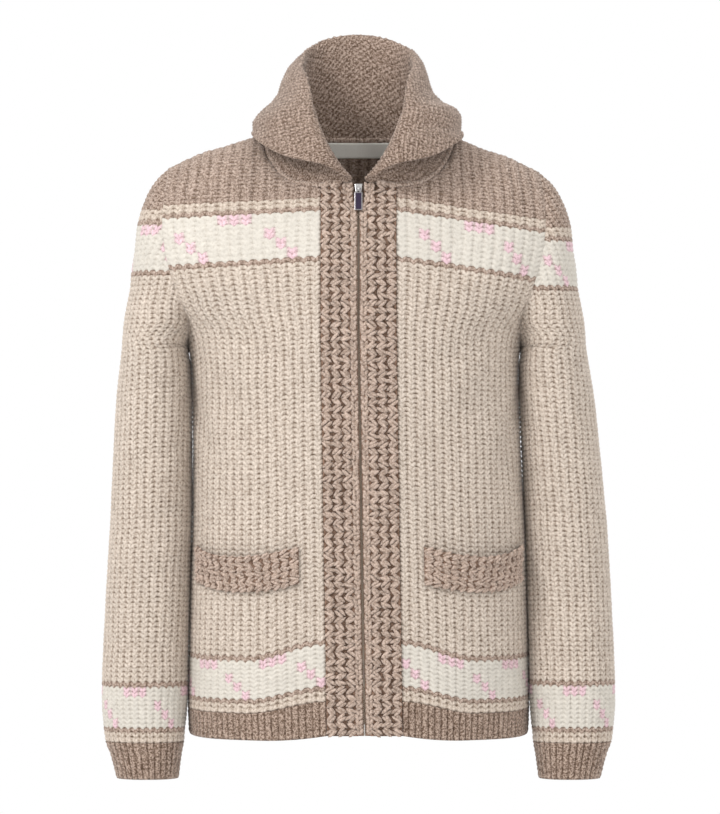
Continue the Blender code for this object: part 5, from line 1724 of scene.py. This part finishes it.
def noise(tree, scale, detail=2.0, rough=0.5):
    """Noise over the object's own coordinates."""
    node = tree.nodes.new("ShaderNodeTexNoise")
    node.inputs["Scale"].default_value = scale
    node.inputs["Detail"].default_value = detail
    node.inputs["Roughness"].default_value = rough
    tree.links.new(tree.nodes.new("ShaderNodeTexCoord").outputs["Object"], node.inputs["Vector"])
    return node.outputs["Fac"]


def ranged(tree, value, low, high, to_low, to_high):
    """A value from one range turned into another, and held inside it."""
    node = tree.nodes.new("ShaderNodeMapRange")
    for socket, number in (("From Min", low), ("From Max", high), ("To Min", to_low), ("To Max", to_high)):
        node.inputs[socket].default_value = number
    tree.links.new(value, node.inputs["Value"])
    return node.outputs["Result"]


def product(tree, first, second):
    """Two values multiplied."""
    node = tree.nodes.new("ShaderNodeMath")
    node.operation = "MULTIPLY"
    tree.links.new(first, node.inputs[0])
    tree.links.new(second, node.inputs[1])
    return node.outputs["Value"]


def scaled(tree, colour, factor):
    """A colour multiplied by a value."""
    node = tree.nodes.new("ShaderNodeVectorMath")
    node.operation = "SCALE"
    tree.links.new(colour, node.inputs[0])
    tree.links.new(factor, node.inputs["Scale"])
    return node.outputs["Vector"]


def yarn_colour(tree):
    """The mesh's own yarn colour."""
    node = tree.nodes.new("ShaderNodeAttribute")
    node.attribute_type = "GEOMETRY"
    node.attribute_name = "Yarn"
    return node.outputs["Color"]


def bumped(tree, surface, height, distance, strength):
    """A bump on a surface from a height."""
    node = tree.nodes.new("ShaderNodeBump")
    node.inputs["Strength"].default_value = strength
    node.inputs["Distance"].default_value = distance
    tree.links.new(height, node.inputs["Height"])
    tree.links.new(node.outputs["Normal"], surface.inputs["Normal"])


def yarn_material(name, flecks, sheen):
    """Heathered yarn: its own colour with fine flecks, fewer on pale yarn and more on dark, and sheen."""
    material, surface = new_material(name)
    tree = material.node_tree
    colour = yarn_colour(tree)
    grey = tree.nodes.new("ShaderNodeRGBToBW")
    tree.links.new(colour, grey.inputs["Color"])
    calm = product(tree, ranged(tree, grey.outputs["Val"], 0.47, 0.55, 1.0, 0.15),
                   ranged(tree, grey.outputs["Val"], 0.22, 0.42, 2.3, 0.9))
    flecks_at = noise(tree, scale=450, detail=3.0, rough=0.8)
    fleck = product(tree, ranged(tree, flecks_at, 0.44, 0.56, -1.0, 1.0), calm)
    tone = tree.nodes.new("ShaderNodeCombineXYZ")
    for channel, amount in zip("XYZ", flecks):
        lifted = tree.nodes.new("ShaderNodeMath")
        lifted.operation = "MULTIPLY_ADD"
        tree.links.new(fleck, lifted.inputs[0])
        lifted.inputs[1].default_value = amount
        lifted.inputs[2].default_value = 1.0
        tree.links.new(lifted.outputs["Value"], tone.inputs[channel])
    tinted = tree.nodes.new("ShaderNodeVectorMath")
    tinted.operation = "MULTIPLY"
    tree.links.new(colour, tinted.inputs[0])
    tree.links.new(tone.outputs["Vector"], tinted.inputs[1])
    broad = ranged(tree, noise(tree, scale=160), 0.3, 0.7, 0.94, 1.06)
    soft = ranged(tree, noise(tree, scale=14), 0.3, 0.7, 0.975, 1.025)
    shade = product(tree, broad, soft)
    tree.links.new(scaled(tree, tinted.outputs["Vector"], shade), surface.inputs["Base Color"])
    surface.inputs["Roughness"].default_value = 0.94
    surface.inputs["Specular IOR Level"].default_value = 0.18
    surface.inputs["Sheen Weight"].default_value = sheen
    surface.inputs["Sheen Roughness"].default_value = 0.55
    surface.inputs["Sheen Tint"].default_value = (1.0, 0.95, 0.90, 1)
    fibres = noise(tree, scale=1500, detail=3.0, rough=0.6)
    bumped(tree, surface, fibres, distance=0.0006, strength=0.5)
    return material


def woven_material(name, pitch, roughness, spread):
    """A fine weave over the mesh's own colour: crossing ridges along its Stitch map, in metres, with painted
    shade in the low places between them.
    """
    material, surface = new_material(name)
    tree = material.node_tree
    stitch = tree.nodes.new("ShaderNodeUVMap")
    stitch.uv_map = "Stitch"
    ridges = []
    for direction in ("X", "Y"):
        wave = tree.nodes.new("ShaderNodeTexWave")
        wave.wave_type = "BANDS"
        wave.bands_direction = direction
        wave.inputs["Scale"].default_value = 0.314 / pitch
        wave.inputs["Distortion"].default_value = 0.6
        tree.links.new(stitch.outputs["UV"], wave.inputs["Vector"])
        ridges.append(wave.outputs["Fac"])
    height = product(tree, ridges[0], ridges[1])
    fleck = ranged(tree, noise(tree, scale=900), 0.3, 0.7, 1 - spread, 1 + spread)
    # Painted shade: the weave's low places darker, with random flecks
    shade = product(tree, ranged(tree, height, 0, 1, 0.88, 1.05), fleck)
    tree.links.new(scaled(tree, yarn_colour(tree), shade), surface.inputs["Base Color"])
    surface.inputs["Roughness"].default_value = roughness
    surface.inputs["Sheen Weight"].default_value = 0.1
    bumped(tree, surface, height, distance=0.0002, strength=0.6)
    return material


def tinted_material(name, colour, grain, detail, dark, light):
    """A material of one colour that wanders between two shares of itself: returns it and its surface."""
    material, surface = new_material(name)
    tree = material.node_tree
    tint = tree.nodes.new("ShaderNodeRGB")
    tint.outputs[0].default_value = (*colour, 1)
    shade = ranged(tree, noise(tree, grain, detail), 0.3, 0.7, dark, light)
    tree.links.new(scaled(tree, tint.outputs[0], shade), surface.inputs["Base Color"])
    return material, surface


def metal_material(name, colour, roughness):
    """Polished cast metal: faint unevenness in its shine."""
    material, surface = tinted_material(name, colour, grain=500, detail=2.0, dark=0.90, light=1.06)
    tree = material.node_tree
    surface.inputs["Metallic"].default_value = 1.0
    worn = noise(tree, scale=900, detail=3.0)
    wear = ranged(tree, worn, 0.3, 0.7, roughness * 0.8, roughness * 1.4)
    tree.links.new(wear, surface.inputs["Roughness"])
    bumped(tree, surface, noise(tree, scale=1200), distance=0.00005, strength=0.2)
    return material


def inlay_material(name):
    """The pull's inlay: dark violet-navy leather-like fill with a faint grain."""
    violet = linear(40, 29, 52)
    material, surface = tinted_material(name, violet, grain=700, detail=3.0, dark=0.75, light=1.25)
    surface.inputs["Roughness"].default_value = 0.6
    surface.inputs["Specular IOR Level"].default_value = 0.25
    tree = material.node_tree
    bumped(tree, surface, noise(tree, scale=1500, detail=3.0), distance=0.0001, strength=0.4)
    return material


def floor_material(name):
    """A plain pale floor."""
    pale = (0.86, 0.86, 0.86)
    material, surface = tinted_material(name, pale, grain=3, detail=2.0, dark=0.99, light=1.01)
    surface.inputs["Roughness"].default_value = 0.9
    return material


def finish_with(piece, material):
    """Give a piece one material."""
    piece.data.materials.clear()
    piece.data.materials.append(material)


# Soft lamps: name, place, the point they are turned to, size and power
LAMPS = (
    ("key", (-2.3, -2.3, 1.7), (0, 0, -0.3), 1.2, 72),
    ("fill", (0.9, -4.2, 0.7), (0, 0, -0.25), 1.8, 24),
    ("top", (1.5, -1.3, 2.0), (0.1, 0, -0.1), 1.2, 9),
)
WORLD_STRENGTH = 1.0
FLOOR_LEVEL = -1.15
FLOOR_SIZE = 4
CAMERA_PLACE = (0.0017, -5.5, -0.3185)
CAMERA_LENS = 211.54
SENSOR_WIDTH = 36


def area_light(name, place, aim, size, power):
    """A soft lamp at a place, turned towards a point."""
    lamp = bpy.data.lights.new(name, "AREA")
    lamp.shape = "DISK"
    lamp.size = size
    lamp.energy = power
    piece = bpy.data.objects.new(name, lamp)
    piece.location = place
    towards = Vector(aim) - Vector(place)
    piece.rotation_euler = towards.to_track_quat("-Z", "Y").to_euler()
    bpy.context.scene.collection.objects.link(piece)


def studio():
    """White surroundings, soft lamps, a pale floor far below and the photograph's camera."""
    scene = bpy.context.scene
    scene.view_settings.view_transform = "Standard"
    world = bpy.data.worlds.new("surroundings")
    world.use_nodes = True
    background = world.node_tree.nodes["Background"]
    background.inputs["Color"].default_value = (1, 1, 1, 1)
    background.inputs["Strength"].default_value = WORLD_STRENGTH
    scene.world = world
    for lamp in LAMPS:
        area_light(*lamp)
    bpy.ops.object.select_all(action="DESELECT")
    bpy.ops.mesh.primitive_plane_add(size=FLOOR_SIZE, location=(0, 0, FLOOR_LEVEL))
    floor = bpy.context.object
    floor.name = "floor"
    bpy.ops.object.transform_apply(location=True, rotation=True, scale=True)
    finish_with(floor, floor_material("floor"))
    lens = bpy.data.cameras.new("camera")
    lens.lens = CAMERA_LENS
    lens.sensor_width = SENSOR_WIDTH
    lens.sensor_fit = "AUTO"
    camera = bpy.data.objects.new("camera", lens)
    camera.location = CAMERA_PLACE
    camera.rotation_euler = (math.pi / 2, 0, 0)
    scene.collection.objects.link(camera)
    scene.camera = camera


def cloth(piece, material, nodes, with_pieces=()):
    """A cloth piece's material, its place on the garment and the hard nodes it replaces."""
    for each in (piece, *with_pieces):
        finish_with(each, material)
        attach(each, "garment")
        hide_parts(*nodes)


def main():
    """Make every piece, dress the hard nodes, and set up the studio."""
    chunky = yarn_material("chunky_knit", (0.20, 0.225, 0.25), 0.2)
    dark = yarn_material("dark_knit", (0.24, 0.27, 0.295), 0.2)
    plaited = yarn_material("band_knit", (0.17, 0.19, 0.21), 0.2)
    tape_cloth = woven_material("zip_tape", 0.0006, 0.85, 0.12)
    satin = woven_material("label_satin", 0.00045, 0.45, 0.03)
    metal = metal_material("zip_metal", linear(186, 184, 182), 0.24)
    pull_metal = metal_material("pull_metal", linear(140, 136, 138), 0.3)
    inlay = inlay_material("pull_inlay")
    back = back_panel()
    cloth(back, chunky, ("back",))
    hem_back = hem_piece("hem_back_knit", BACK, HEM_RIBS_BACK // 2, 0)
    cloth(hem_back, dark, ("hem_rib_back",))
    for side_sign, side in SIDE_NAMES.items():
        front = front_panel(side_sign)
        cloth(front, chunky, ("front_" + side,))
        arm = sleeve(side_sign)
        cloth(arm, chunky, ("sleeve_" + side,))
        wrist = cuff(side_sign)
        cloth(wrist, dark, ("cuff_" + side,))
        hem = hem_piece("hem_" + side + "_knit", FRONT, HEM_RIBS_FRONT, side_sign)
        cloth(hem, dark, ("hem_rib_" + side,))
        strip, stitches = band(side_sign)
        cloth(strip, plaited, ("band_" + side,), [stitches])
        ribbon = tape(side_sign)
        row = teeth(side_sign)
        cloth(ribbon, tape_cloth, ("zip_tape_" + side,), [row])
        finish_with(row, metal_material("teeth_" + side, linear(178, 162, 146), 0.5))
        flap, flap_stitches = welt_piece(side_sign)
        cloth(flap, plaited, ("welt_" + side,),
              [flap_stitches])
    neck = collar_piece()
    cloth(neck, dark, ("collar",), [neck_seam()])
    tag, tag_stitches = label_piece()
    cloth(tag, satin, ("neck_label",), [tag_stitches])
    for node, material in (("zip_slider", metal), ("zip_pull", pull_metal), ("pull_inlay", inlay)):
        finish_with(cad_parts[node], material)
    studio()
    bpy.context.view_layer.update()


main()
